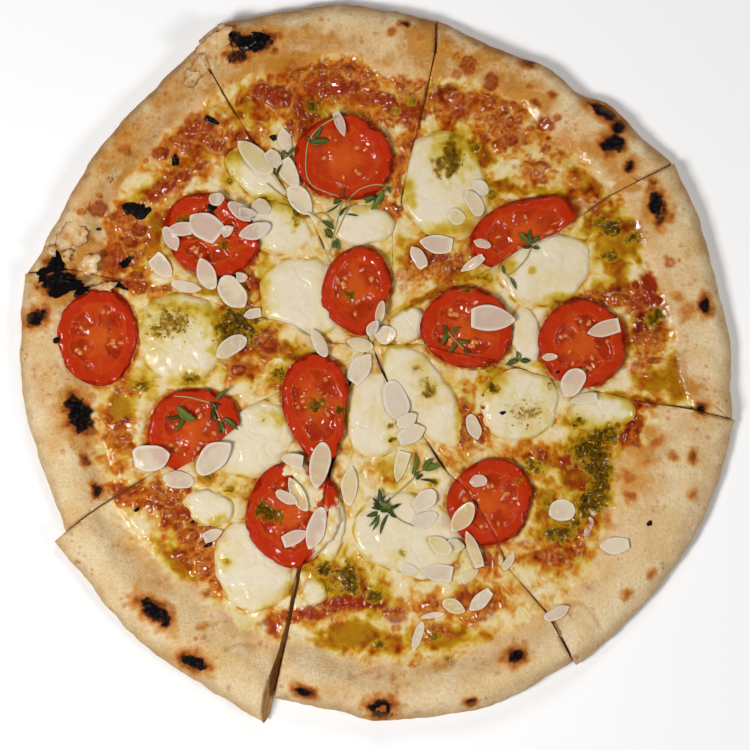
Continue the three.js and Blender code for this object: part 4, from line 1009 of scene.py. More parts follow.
def slice_shell(top, feet, floor, wall_steps):
    """Closed skin of a slice. Each row runs up one cut face, over the top and down the other face; the
    feet stand on a flat floor, which is one polygon. Returns points, quads, the polygon and wall marks."""
    rows = len(top)
    t = np.linspace(0, 1, wall_steps + 1)[:-1]
    foot = [np.concatenate([feet[:, side], np.full((rows, 1), floor)], 1)[:, None] for side in (0, 1)]
    left = foot[0] + (top[:, :1] - foot[0]) * t[None, :, None]
    right = foot[1] + (top[:, -1:] - foot[1]) * t[None, ::-1, None]
    grid = np.concatenate([left, top, right], 1)
    columns = grid.shape[1]
    wall = np.zeros(grid.shape[:2])
    wall[:, :wall_steps] = 1
    wall[:, -wall_steps:] = 2
    index = np.arange(rows * columns).reshape(rows, columns)
    polygon = np.concatenate([index[:, 0], index[-1, 1:], index[-2::-1, -1]])
    return grid.reshape(-1, 3), shell_faces(rows, columns), polygon, wall.ravel()


def cut_distance(part, u, v):
    """Distance in millimetres from a point of a slice to its nearer cut: share across times the width."""
    edge = part["edge"]
    width = np.hypot(*(edge[-1] - edge[0])) * v
    return np.minimum(u, 1 - u) * width


def leaning(part, xy, u, v, height):
    """Points of a slice moved across its first cut by its lean times their height, dying out with
    the eighth power of the share across."""
    lean = part["lean"] * height * (1 - u) ** 8
    step = (v * part["ends"][0] * (len(part["left"]) - 1)).astype(int)
    return xy + across(part["left"])[np.maximum(step, 0)] * lean[..., None]


def over_walls(layer, steps):
    """Values of a top grid carried on down the walls at both ends of its rows, one for each point."""
    pad = [(0, 0), (steps, steps), (0, 0)][:layer.ndim]
    return np.pad(layer, pad, "edge").reshape(-1, *layer.shape[2:])


# Steps of the dough's grid across and out, and down its cut faces
DOUGH_COLUMNS = 250
DOUGH_RIM_ROWS = 92
DOUGH_FLAT_ROWS = 9
DOUGH_WALL_STEPS = 6


def dough_piece(part):
    """One slice's dough: a flat base out to the rim's foot, then the rim's section carried along the edge,
    swollen by noise, pinched at the cuts and painted by height, spots and clouds."""
    u = np.linspace(0, 1, DOUGH_COLUMNS + 1)[None]
    flat = np.linspace(0, 1, DOUGH_FLAT_ROWS + 1)[:-1, None]
    q = np.linspace(0, 1, DOUGH_RIM_ROWS + 1)[:, None]
    foot = rim_foot(part, u)
    crown = crown_height(part, u)
    share = np.interp(q, SECTION_STEPS, SECTION_CURVE[:, 0])
    level = np.interp(q, SECTION_STEPS, SECTION_CURVE[:, 1])
    v = np.concatenate([flat * foot, foot + (1 - foot) * share])
    u = np.broadcast_to(u, v.shape)
    level = np.concatenate([np.full_like(flat, RIM_SECTION[0][1]), level]) + 0 * v
    share = np.concatenate([flat - 1, share]) + 0 * v
    height = blend(DOUGH_THICKNESS, level * crown, np.concatenate([flat ** 6, np.ones_like(q)]) + 0 * v)
    xy = slice_place(part, u, v)
    x, y = np.moveaxis(xy, -1, 0)
    outward = xy - part["left"][0]
    outward = outward / np.maximum(np.linalg.norm(outward, axis=-1, keepdims=True), 1e-6)
    body = ease(0.3, 0.8, level)
    edge_gap = cut_distance(part, u, v)
    height = height + dough_swell(x, y) * body - 1.6 * body * np.exp(-(edge_gap / 1.6) ** 2)
    lip = ease(0.8, 1.0, share) * ease(0.05, 0.3, level)
    jut = 0.7 * cloud(x, y, 14, 21, 3) * lip
    xy = leaning(part, xy + outward * jut[..., None], u, v, height)
    top = np.concatenate([xy, height[..., None]], -1)
    sides = np.array([[0.0, 1.0]])
    feet_share = np.concatenate([flat - 1, q * RIM_SECTION[-1][0]])
    feet_foot = rim_foot(part, sides)
    feet_v = np.where(feet_share < 0, (feet_share + 1) * feet_foot,
                      feet_foot + (1 - feet_foot) * np.maximum(feet_share, 0))
    feet = slice_place(part, np.broadcast_to(sides, feet_v.shape), feet_v, 0.1)
    points, quads, polygon, wall = slice_shell(top, feet, 0.0, DOUGH_WALL_STEPS)
    share = over_walls(share, DOUGH_WALL_STEPS)
    edge_gap = over_walls(edge_gap, DOUGH_WALL_STEPS)
    tint, wet = paint_dough(points, wall, share, edge_gap)
    crumb = (wall > 0) * ease(0.2, 1.5, points[:, 2]) * 0.35
    s = points[:, 0] * 0.8 + points[:, 1] * 0.6
    for axis in (0, 1):
        points[:, axis] += crumb * ripple(s, points[:, 2] * 1.6, 2.2, 71 + axis)
    stamp(points[wall == 0], tint[wall == 0])
    name = "dough_" + part["name"]
    make_piece(name, points, quads, [polygon], tint, wet, BAKED_DOUGH, name)


def crust_tint(x, y, share):
    """Colour of the crust from above: pale dough with golden, amber and floury zones, clusters of freckles,
    orange to brown halos round its roasted spots and black, ashy char with a brown fringe."""
    tint = lay(CRUST_PALE, CRUST_GOLD, np.clip(0.2 + 0.7 * cloud(x, y, 20, 101, 4), 0, 0.9))
    amber = spread(x, y, AMBER, 0.5, 10, 102, (0.1, 1.2))
    dusty = spread(x, y, FLOUR, 0.4, 10, 104, (0.1, 1.2))
    dusty = np.maximum(dusty, 0.8 * ease(0.0, 0.6, cloud(x, y, 13, 107, 4)))
    tint = lay(tint, CRUST_FLOUR, 0.85 * dusty)
    tint = lay(tint, CRUST_AMBER, 0.65 * amber * (0.9 + 0.5 * cloud(x, y, 5, 109, 3)))
    toasted = spread(x, y, TOASTED, 0.4, 9, 105, (0.15, 1.2))
    tint = lay(tint, CRUST_TOAST, np.clip(1.7 * toasted * (0.85 + 0.6 * cloud(x, y, 5, 113, 3)), 0, 0.9))
    tint = lay(tint, CRUST_AMBER, 0.35 * (1 - ease(0.05, 0.45, share + 0.16 * cloud(x, y, 9, 103, 3))))
    fuzzy = cloud(x, y, 1.6, 108, 2)
    for size, seed, often in ((2.6, 110, 0.1), (4.6, 111, 0.06)):
        away, number = cells(x + 0.5 * fuzzy, y - 0.5 * fuzzy, size, seed)
        spot = (1 - ease(0.08, 0.42, away + 0.12 * fuzzy)) * (number < often + 0.35 * amber)
        tint = lay(tint, CRUST_TAN, 0.6 * spot * ease(-0.3, 0.3, cloud(x, y, 14, 106, 2)))
    pore, number = cells(x, y, 1.7, 115)
    tint = lay(tint, CRUST_TAN, 0.5 * (1 - ease(0.05, 0.25, pore)) * (number > 0.75))
    # Painted shade in the creases
    tint = lay(tint, CRUST_TAN, 0.3 * crease_mask(x, y)[1])
    halo, black, bare = np.zeros((3, len(x)))
    for *spot, blown in CHAR:
        px, py, half_x, half_y, turn, burnt = spot
        wide, rough = (1.5, 0.24) if burnt > 0.75 else (1.0, 0.4)
        around = grown(spot, wide, 4, min(1, burnt + 0.15))
        halo = np.maximum(halo, spread(x, y, [around], rough, 5, 81, (0.1, 1.15)))
        black = np.maximum(black, spread(x, y, [spot], 0.28, 4, 82, (0.4, 1.4)))
        if blown > 1.5:
            crack = (px, py, half_x * 0.42, half_y * 0.34, turn, 1)
            bare = np.maximum(bare, spread(x, y, [crack], 0.5, 2.5, 84))
    halo = halo + 0.08 * fuzzy * ease(0.05, 0.4, halo)
    black = black + 0.1 * fuzzy * ease(0.05, 0.4, black)
    tint = lay(tint, CRUST_AMBER, 0.8 * ease(0.02, 0.35, halo))
    tint = lay(tint, CRUST_TAN, 0.85 * ease(0.3, 0.65, halo))
    tint = lay(tint, CRUST_BROWN, 0.85 * ease(0.55, 0.9, halo))
    tint = lay(tint, CHAR_BROWN, 0.95 * ease(0.5, 0.75, black))
    tint = lay(tint, CHAR_BLACK, ease(0.6, 0.9, black))
    tint = lay(tint, CHAR_ASH, 0.5 * ease(0.6, 0.9, black) * ease(0.15, 0.6, cloud(x, y, 1.5, 116, 3)))
    tint = lay(tint, CRUST_TAN, 0.9 * ease(0.4, 0.7, bare))
    core, ring, browning = bake_blisters(x, y)[1:]
    tint = lay(tint, ramp(0.5 + 0.2 * fuzzy, MELT_STOPS), 0.6 * ring)
    tint = lay(tint, ramp(browning + 0.2 * fuzzy, MELT_STOPS), 0.95 * core)
    return tint * (1 + 0.1 * cloud(x, y, 1.3, 112, 2))[:, None]


def paint_dough(points, wall, share, edge_gap):
    """Crust colours with painted shade on the outer edge, stronger towards +y, painted shade along the cuts
    and bread crumb on the cut faces; oily near the melt."""
    x, y, z = points.T
    tint = crust_tint(x, y, share)
    # Painted shade on the rim's outer edge, stronger towards +y
    edge = ease(0.8, 1.02, share + 0.08 * cloud(x, y, 8, 114, 3)) * (0.4 + 0.35 * ease(20, 120, y))
    tint = lay(tint, CRUST_EDGE_SHADE, edge)
    # Painted shade on the top along the cuts
    cut_shade = np.exp(-(edge_gap / (0.6 + 0.4 * cloud(x, y, 5, 113, 2))) ** 2)
    tint = lay(tint, CUT_SHADE_BROWN, 0.7 * cut_shade * (wall == 0))
    crumb = lay(CRUMB_PALE, CRUMB_TAN, np.clip(0.5 + 0.6 * cloud(x + z, y - z, 3, 107, 3), 0, 1))
    upper = ease(0.6, 1.0, z / np.maximum(z.max(), 1))
    tint = np.where((wall > 0)[:, None], lay(crumb, tint, upper), tint)
    tint = np.where((z < 0.05)[:, None], CRUST_TAN, tint)
    oily = 0.4 * (1 - ease(0.0, 0.3, share)) * (wall == 0)
    return tint, oily


# Steps of the melt's grid, and how far it reaches over the rim's width
MELT_COLUMNS = 230
MELT_ROWS = 205
MELT_WALL_STEPS = 3
MELT_REACH = 0.48


def melt_piece(part):
    """One slice's sauce and cheese: a sheet from the tip to an uneven line on the rim's inner slope, with
    bubbles, blisters, pools and heaps, and its walls down to the dough."""
    u = np.linspace(0, 1, MELT_COLUMNS + 1)[None]
    w = np.linspace(0, 1, MELT_ROWS + 1)[:, None]
    foot = rim_foot(part, u)
    v = w * (foot + (1 - foot) * MELT_REACH)
    u = np.broadcast_to(u, v.shape)
    xy = slice_place(part, u, v)
    x, y = np.moveaxis(xy, -1, 0)
    share = (v - foot) / (1 - foot)
    bread = dough_height(part, u, np.clip(share, 0, 1), x, y)
    edge_gap = cut_distance(part, u, v)
    opened = [cut_open(cut, v * end) for cut, end in zip(part["cuts"], part["ends"])]
    opened = np.where(u < 0.5, opened[0], opened[1])
    height, tint, wet, stay = melt_surface(part, x.ravel(), y.ravel(), edge_gap.ravel(), opened.ravel())
    height = height.reshape(x.shape)
    stay = stay.reshape(x.shape) * (1 - w ** 12)
    height = height - blend(0.2, 1.2, opened) * np.exp(-(edge_gap / 1.4) ** 2)
    creep = 0.13 + 0.12 * cloud(x, y, 13, 201, 3) + 0.05 * cloud(x, y, 3, 202, 2)
    spent = ease(-0.07, 0.03, share - creep)
    film = 0.12 + 0.7 * (1 - ease(-0.12, 0.02, share - creep))
    film = film + blend(0.12, 0.35, stay) * (height - MELT_LEVEL)
    film = np.maximum(film, 0.1) * (1 - w ** 30) - 0.3 * w ** 30
    climb = ease(-0.12, 0.06, share)
    height = np.maximum(blend(height, bread + film, climb), MELT_FLOOR + 0.2)
    crust = crust_tint(x.ravel(), y.ravel(), share.ravel())
    spent = (spent * (1 - stay)).ravel()
    tint = lay(tint, crust, spent)
    wet = wet * (1 - 0.8 * spent)
    top = np.concatenate([leaning(part, xy, u, v, height), height[..., None]], -1)
    skirt = top[-1:].copy()
    skirt[..., 2] = MELT_FLOOR
    top = np.concatenate([top, skirt])
    points, quads, polygon, wall = slice_shell(top, top[:, [0, -1], :2], MELT_FLOOR, MELT_WALL_STEPS)
    rows = np.append(np.arange(len(x)), -1)
    tint = over_walls(tint.reshape(*x.shape, 3)[rows], MELT_WALL_STEPS)
    wet = over_walls(wet.reshape(x.shape)[rows], MELT_WALL_STEPS)
    low = 1 - ease(0, MELT_LEVEL - MELT_FLOOR, points[:, 2] - MELT_FLOOR)
    tint = lay(tint, SEAM_RED, 0.7 * low * (wall > 0))
    stamp(points[wall == 0], tint[wall == 0])
    name = "melt_" + part["name"]
    make_piece(name, points, quads, [polygon], tint, wet, MELTED_CHEESE, name)


def pesto_depth(x, y):
    """How thick the pesto lies, 0 to 1: its spots with a ragged edge, broken up by a fine cloud."""
    thick = spread(x, y, PESTO, 0.55, 5, 261, (0.2, 1.2))
    return np.clip(thick * (0.85 + 0.55 * cloud(x, y, 2.2, 262, 3)), 0, 1)


def film_depth(x, y):
    """Depth of the olive oil, 0 to about 1.7: its patches and the halos round the pesto, with ragged edges
    and streaks from clouds, and a thin film in places elsewhere."""
    halos = [grown(spot, 1.5, 4, spot[-1]) for spot in PESTO]
    drift_x = x + 1.6 * cloud(x, y, 7, 271, 2)
    drift_y = y + 1.6 * cloud(x, y, 7, 272, 2)
    patch = spread(drift_x, drift_y, FILM, 0.4, 6, 268, (0.25, 1.2))
    halo = spread(drift_x, drift_y, halos, 0.6, 6, 266, (0.15, 1.2))
    depth = np.maximum(1.4 * patch, 0.6 * halo) * (1 + 0.5 * cloud(x, y, 4, 269, 2))
    return np.clip(depth + 0.08 * ease(0.1, 0.8, cloud(x, y, 11, 267, 3)), 0, 1.7)


def through_oil(tint, depth):
    """Colour seen through oil: each channel times a falling exponential of the depth."""
    return tint * np.exp(-depth[:, None] * OIL_ABSORB)


def melt_surface(part, x, y, edge_gap, opened):
    """Height, colour and wetness of the melt, and how much of it stays visible on the crust: cream with soft
    orange stains that spread with the heat of the zone and thin streaks between; oil, bubbles from cell
    noise, blisters, sauce, pesto, painted shade along the open cuts and painted contact shade round the slabs
    are laid over."""
    name = part["name"]
    slabs = [mozzarella_shape(number) for number, spec in enumerate(MOZZARELLA, 1) if spec[0] == name]
    rounds = [tomato_shape(number) for number, spec in enumerate(TOMATOES, 1) if name in spec[0]]
    drift_x = x + 2.2 * cloud(x, y, 9, 211, 3)
    drift_y = y + 2.2 * cloud(x, y, 9, 212, 3)
    hot = spread(drift_x, drift_y, HEAT, 0.3, 9, 218, (0.1, 1.3))
    cool = spread(drift_x, drift_y, CREAM, 0.25, 9, 219, (0.4, 1.25))
    slab_gap = outside_slabs(x, y, slabs)
    round_gap = outside_slabs(x, y, rounds)
    zone = 0.31 + 1.35 * hot - 0.5 * cool + 0.1 * cloud(x, y, 18, 217, 2)
    # Painted contact shade: a browner ring just outside the slabs, in places; then a browner ring round the
    # tomato slices
    zone = zone + 0.2 * np.exp(-((slab_gap - 0.5) / 1.0) ** 2) * ease(-0.1, 0.6, cloud(x, y, 9, 224, 2))
    zone = np.clip(zone + 0.3 * np.exp(-((round_gap - 0.4) / 1.2) ** 2), 0, 1)
    lump = cloud(drift_x, drift_y, 7, 221, 3)
    grain = cloud(drift_x, drift_y, 2.4, 225, 3)
    stain = ease(-0.65, 0.75, 1.9 * zone - 0.75 + 0.75 * lump + 0.15 * grain)
    streak = np.exp(-(cloud(drift_x, drift_y, 11, 227, 3) / 0.06) ** 2) * ease(0.1, 0.35, zone)
    heat = 0.05 + 0.08 * cloud(x, y, 13, 228, 2) + stain * (0.38 + 0.28 * zone + 0.2 * grain) + 0.14 * streak
    height = MELT_LEVEL + 0.35 * cloud(x, y, 12, 220, 2) - 0.25 * stain + 0.24 * cloud(x, y, 4, 222, 2)
    height = height - 0.35 * np.abs(cloud(drift_x, drift_y, 6, 230, 3))
    wet = 0.3 + 0.3 * stain + 0.2 * cloud(x, y, 7, 223, 2)
    pool = spread(x, y, OIL, 0.35, 6, 251, (0.3, 1.2))
    olive = film_depth(x, y)
    # Oil with painted contact shade just outside the slab outlines
    oil_seam_and_shade = np.exp(-(slab_gap / 0.7) ** 2) * ease(-0.1, 0.5, cloud(x, y, 8, 273, 2))
    olive = blend(np.maximum(olive, 0.7 * oil_seam_and_shade), 0.85, np.clip(1.3 * pool, 0, 1))
    tint = through_oil(ramp((heat + 0.2 * np.minimum(olive, 1)) * (1 - 0.6 * pool), MELT_STOPS), olive)
    wet = np.maximum(wet, np.minimum(0.9 * olive, 1))
    height = blend(height, MELT_LEVEL + 0.1, 0.85 * pool)
    warp_x = x + 0.7 * cloud(x, y, 4, 214, 2)
    warp_y = y + 0.7 * cloud(x, y, 4, 215, 2)
    for size, tall, seed in ((7.5, 1.0, 216), (4.6, 0.5, 226)):
        away, number = cells(warp_x, warp_y, size, seed)
        bubble = np.sqrt(np.clip(1 - (away / (0.24 + 0.22 * number)) ** 2, 0, 1))
        bubble = bubble * ease(0.5, 0.8, zone + 0.3 * (number - 0.5)) * (number > 0.4)
        height = height + tall * bubble
        tint = lay(tint, ramp(0.55 + 0.45 * number + 0.2 * grain, MELT_STOPS), 0.7 * ease(0, 0.5, bubble))
        wet = np.maximum(wet, bubble)
    rise, core, ring, browning = bake_blisters(x, y)
    height = height + rise
    tint = lay(tint, ramp(0.5 + 0.2 * grain, MELT_STOPS), 0.7 * ring)
    tint = lay(tint, ramp(browning + 0.25 * grain, MELT_STOPS), 0.95 * core)
    wet = np.maximum(wet, core)
    sauce = spread(x, y, SAUCE, 0.5, 4, 241)
    tint = lay(tint, SAUCE_RED, 0.9 * sauce)
    thick = pesto_depth(x, y)
    tint = lay(tint, ramp(thick, PESTO_STOPS), ease(0.03, 0.25, thick) * 0.97)
    height = height + 0.8 * ease(0.2, 0.9, thick) * (0.8 + 0.9 * cloud(x, y, 1.6, 263, 2))
    wet = blend(wet, 0.6, ease(0.15, 0.6, thick))
    # Painted shade along the cuts where they stand open
    cut_shade = np.exp(-(edge_gap / (0.8 + 0.4 * cloud(x, y, 5, 265, 2))) ** 2) * opened
    tint = lay(tint, CUT_SHADE_BROWN, 0.75 * cut_shade)
    stay = np.clip(np.maximum(core, 1.2 * np.maximum(olive - 0.2, pool)), 0, 1)
    return height, tint, np.clip(wet, 0, 1), stay


# Height of a blister over its half width
BLISTER_RISE = 0.34


def bake_blisters(x, y):
    """Blisters of the cheese with two small ones beside each, as height in millimetres, core, outer ring and
    browning: for each, the root of one less the squared share of its radius, with a crisp edge."""
    rise, core, ring, browning = np.zeros((4,) + np.shape(x))
    for number, (px, py, half_x, half_y, turn, weight) in enumerate(BLISTERS):
        middle = place((px, py))
        half = np.array([half_x, half_y]) * MM_PER_POINT
        near = np.hypot(x - middle[0], y - middle[1]) < 2.8 * half.max()
        if not near.any():
            continue
        lot = np.random.default_rng(number)
        uneven = 0.2 * cloud(x[near], y[near], 3, 231 + number, 2)
        along, aside = turn_to(x[near] - middle[0], y[near] - middle[1], np.radians(turn))
        for far, size in ((0, 1), (1.5, 0.45), (1.7, 0.32)):
            way = lot.uniform(0, 2 * np.pi)
            away = np.hypot(along / half[0] - far * np.cos(way), aside / half[1] - far * np.sin(way))
            away = away / size + uneven
            dome = np.sqrt(np.clip(1 - away ** 2, 0, 1))
            rise[near] = np.maximum(rise[near], BLISTER_RISE * half.min() * size * dome)
            mine = weight ** 0.5 * (1 - ease(0.78, 1.08, away))
            warm = 0.42 + 0.55 * weight * size ** 0.25 + lot.normal(0, 0.06) - 0.1 * dome
            browning[near] = np.where(mine > core[near], warm, browning[near])
            core[near] = np.maximum(core[near], mine)
            ring[near] = np.maximum(ring[near], weight * np.exp(-((away - 1.05) / 0.25) ** 2))
    return rise, core, ring, browning


def off_angle(angle, direction):
    """Angle in radians off a direction in degrees, within half a turn either way."""
    return np.angle(np.exp(1j * (angle - np.radians(direction))))


def outline_radius(angle, shape):
    """Radius of a slab's outline: a turned ellipse, drawn out towards its tip, with three slow waves and,
    where it is rough, two quick ones."""
    middle, half, turn, tip, (wave, rough) = shape
    local = angle - np.radians(turn)
    radius = half[0] * half[1] / np.hypot(half[1] * np.cos(local), half[0] * np.sin(local))
    radius = radius * (1 + tip[1] * np.exp(-(off_angle(angle, tip[0]) / 0.45) ** 2))
    slow = 0.03 * np.sin(2 * angle + wave) + 0.02 * np.sin(3 * angle + 2.3 * wave)
    slow = slow + 0.012 * np.sin(5 * angle + wave * 4)
    quick = 0.028 * np.sin(4 * angle + 1.9 * wave) + 0.016 * np.sin(9 * angle + 3.1 * wave)
    return radius * (1 + slow + rough * quick)


def slab_polar(x, y, shape):
    """Distance and direction from a slab's middle, and the radius of its outline in that direction."""
    dx = x - shape[0][0]
    dy = y - shape[0][1]
    angle = np.arctan2(dy, dx)
    return np.hypot(dx, dy), angle, outline_radius(angle, shape)


def star_outline(room, inner, count, limit):
    """Distance from a point to where `room` turns negative, in each of `count` directions, by stepping out
    and mixing the last two steps."""
    angle = np.linspace(0, 2 * np.pi, count, endpoint=False)
    step = np.linspace(0, limit, 90)
    value = room(inner[0] + np.cos(angle)[:, None] * step, inner[1] + np.sin(angle)[:, None] * step)
    outside = value < 0
    first = np.where(outside.any(1), outside.argmax(1), len(step) - 1)
    first = np.maximum(first, 1)
    rows = np.arange(count)
    before = value[rows, first - 1]
    after = value[rows, first]
    share = np.clip(before / np.maximum(before - after, 1e-6), 0, 1)
    return angle, step[first - 1] + share * (step[first] - step[first - 1])


def mozzarella_shape(number):
    """Outline values of a mozzarella slab: middle, half sizes, turn, no tip, and its own rough wave."""
    slice_name, at, half, turn = MOZZARELLA[number - 1]
    return place(at), half, turn, (0, 0), (number, 1)


def tomato_shape(number):
    """Outline values of a tomato slice: middle, half sizes, turn, tip, and its own smooth wave."""
    slices, at, half, turn, tip = TOMATOES[number - 1][:5]
    return place(at), half, turn, tip, (number * 1.7, 0)


def outside_slabs(x, y, shapes):
    """Distance in millimetres outside the nearest of some slab outlines, below zero inside."""
    gap = np.full(len(x), 9.0)
    for shape in shapes:
        middle, half = shape[:2]
        near = np.hypot(x - middle[0], y - middle[1]) < 1.5 * max(half) + 6
        if near.any():
            away, angle, radius = slab_polar(x[near], y[near], shape)
            gap[near] = np.minimum(gap[near], (away / radius - 1) * radius)
    return gap


def slab(room, inner, surface, floor, grid_size, limit):
    """A lump lying on the melt: rings from an inner point out to its outline, their height from `surface`,
    then a side down to the floor, closed by one polygon. Returns points, quads and the polygon."""
    count, rings = grid_size
    angle, radius = star_outline(room, inner, count, limit)
    share = np.sin(np.linspace(0, 1, rings + 1) * np.pi / 2)[:, None]
    x = inner[0] + share * radius * np.cos(angle)
    y = inner[1] + share * radius * np.sin(angle)
    z = surface(x, y)
    side = np.linspace(1, 0, 4)[1:, None]
    x = np.concatenate([x, np.repeat(x[-1:], 3, 0)])
    y = np.concatenate([y, np.repeat(y[-1:], 3, 0)])
    z = np.concatenate([z, floor + (z[-1:] - floor) * side])
    rows = len(x)
    grid = np.stack([x, y, z], -1)
    grid = np.concatenate([grid, grid[:, :1]], 1)
    index = np.arange(rows * (count + 1)).reshape(rows, count + 1)
    polygon = index[-1, :-1][::-1]
    return grid.reshape(-1, 3), shell_faces(rows, count + 1, True), polygon


def slab_room(part, shape, set_back):
    """Function giving the room in millimetres to a slab's outline and to the cuts of its slice."""
    def room(x, y):
        away, angle, radius = slab_polar(x, y, shape)
        free = set_back + gape(x, y)
        left = past_cut(part["left"], x, y) - free
        right = -past_cut(part["right"], x, y) - free
        return np.minimum(radius - away, np.minimum(left, right))
    return room


def slab_share(x, y, shape):
    """Distance from the middle as a share of the outline's radius in that direction, and the direction."""
    away, angle, radius = slab_polar(x, y, shape)
    return away / radius, angle


def inner_point(room, middle, reach):
    """Place with the most room on a grid around a middle."""
    line = np.linspace(-reach, reach, 61)
    x, y = np.meshgrid(middle[0] + line, middle[1] + line)
    best = np.argmax(room(x, y))
    return np.array([x.ravel()[best], y.ravel()[best]])


# Points round a slab and rings out to its edge
MOZZARELLA_GRID = (150, 40)
TOMATO_GRID = (170, 62)
TOMATO_CUT_GRID = (110, 26)


def cheese_cover(x, y):
    """Where melted cheese has run over a tomato slice, 0 to 1: its spots with a crisp, ragged edge."""
    return ease(0.35, 0.6, spread(x, y, CHEESE_OVER, 0.35, 4, 440))


def mozzarella_piece(number, slice_name):
    """A mozzarella slab: a flat dome that falls as a power of the share of its radius, steeper on one side
    than on the other, with slow folds and fine fibres, oil and painted contact shade at its edge and stains
    of oil and pesto."""
    shape = mozzarella_shape(number)
    middle, half = shape[:2]
    room = slab_room(SLICE[slice_name], shape, SLAB_SET_BACK)
    inner = inner_point(room, middle, max(half))

    def crispness(angle):
        return np.clip(0.5 + 0.5 * np.sin(angle + 2.4 * number) + 0.25 * np.sin(3 * angle + number), 0, 1)

    def fibre(x, y):
        along, aside = turn_to(x, y, 1.9 * number)
        return cloud(0.2 * along, aside, 2.4, 380 + number, 2)

    def surface(x, y):
        share, angle = slab_share(x, y, shape)
        dome = np.clip(1 - share ** blend(2.4, 9, crispness(angle)), 0, 1) ** 0.7
        fold = 0.6 * cloud(x, y, 14, 300 + number, 3) + 0.12 * cloud(x, y, 4.5, 320 + number, 2)
        fold = fold - 0.35 * np.exp(-(cloud(x, y, 16, 360 + number, 2) / 0.05) ** 2) + 0.1 * fibre(x, y)
        fold = fold * min(1, min(half) / 13)
        side = np.clip(room(x, y), 0, None)
        drop = 0.8 * np.exp(-(side / 0.8) ** 2)
        return MELT_LEVEL - 0.3 + 2.3 * dome + fold * dome - drop * dome

    points, quads, polygon = slab(room, inner, surface, MOZZARELLA_FLOOR, MOZZARELLA_GRID, 2.2 * max(half))
    x, y, z = points.T
    share, angle = slab_share(x, y, shape)
    warm = 0.2 + 0.6 * cloud(x, y, 15, 341, 4) + 0.3 * fibre(x, y)
    tint = lay(MOZZARELLA_WHITE, MOZZARELLA_WARM, np.clip(warm, 0, 1))
    rim = ease(0.7, 1.0, share + 0.12 * cloud(x, y, 5, 342, 3)) * blend(0.95, 0.3, crispness(angle))
    edge_heat = np.clip(0.1 + 0.3 * cloud(x, y, 8, 343, 3), 0, 1)
    tint = lay(tint, ramp(edge_heat, MELT_STOPS), rim)
    wet = 0.35 + 0.3 * cloud(x, y, 6, 344, 2)
    pool = spread(x, y, OIL, 0.35, 6, 251)
    # Oil with painted contact shade along the slab's edge
    oil_seam_and_shade = 0.35 * np.exp(-((share - 1) / 0.06) ** 2) * ease(-0.1, 0.5, cloud(x, y, 9, 345, 2))
    olive = np.maximum(0.55 * film_depth(x, y) * ease(0.35, 0.9, share), 0.6 * pool) + oil_seam_and_shade
    tint = through_oil(tint, olive)
    thick = pesto_depth(x, y)
    halos = [grown(spot, 1.3, 3, spot[-1]) for spot in PESTO]
    tint = through_oil(tint, 0.2 * spread(x, y, halos, 0.6, 4, 266, (0.15, 1.2)))
    tint = lay(tint, ramp(thick, PESTO_STOPS), ease(0.08, 0.4, thick) * 0.95)
    wet = np.clip(blend(wet, 0.4, ease(0.15, 0.6, thick)), 0, 1)
    stamp(points, tint)
    name = "mozzarella_%d" % number
    make_piece(name, points, quads, [polygon], tint, wet, SOFT_MOZZARELLA, name)


def seed_dots(number, shape, chambers, deep, x, y):
    """Seeds of a tomato slice, 0 to 1: in each chamber a few ovals that point at the core, each the root of
    one less the squared share of its half size."""
    middle = shape[0]
    lot = np.random.default_rng(440 + number)
    mask = np.zeros(np.shape(x))
    for direction in chambers:
        for _ in range(lot.integers(1, 3 + int(4 * deep))):
            angle = np.radians(direction + lot.normal(0, 60 / len(chambers)))
            far = lot.uniform(0.36, 0.6) * outline_radius(angle, shape)
            pointing = angle + lot.normal(0, 0.4)
            dx = x - middle[0] - far * np.cos(angle)
            dy = y - middle[1] - far * np.sin(angle)
            along, aside = turn_to(dx, dy, pointing)
            along = along / lot.uniform(1.0, 1.4)
            aside = aside / lot.uniform(0.65, 0.9)
            mask = np.maximum(mask, np.sqrt(np.clip(1 - along ** 2 - aside ** 2, 0, 1)))
    return mask


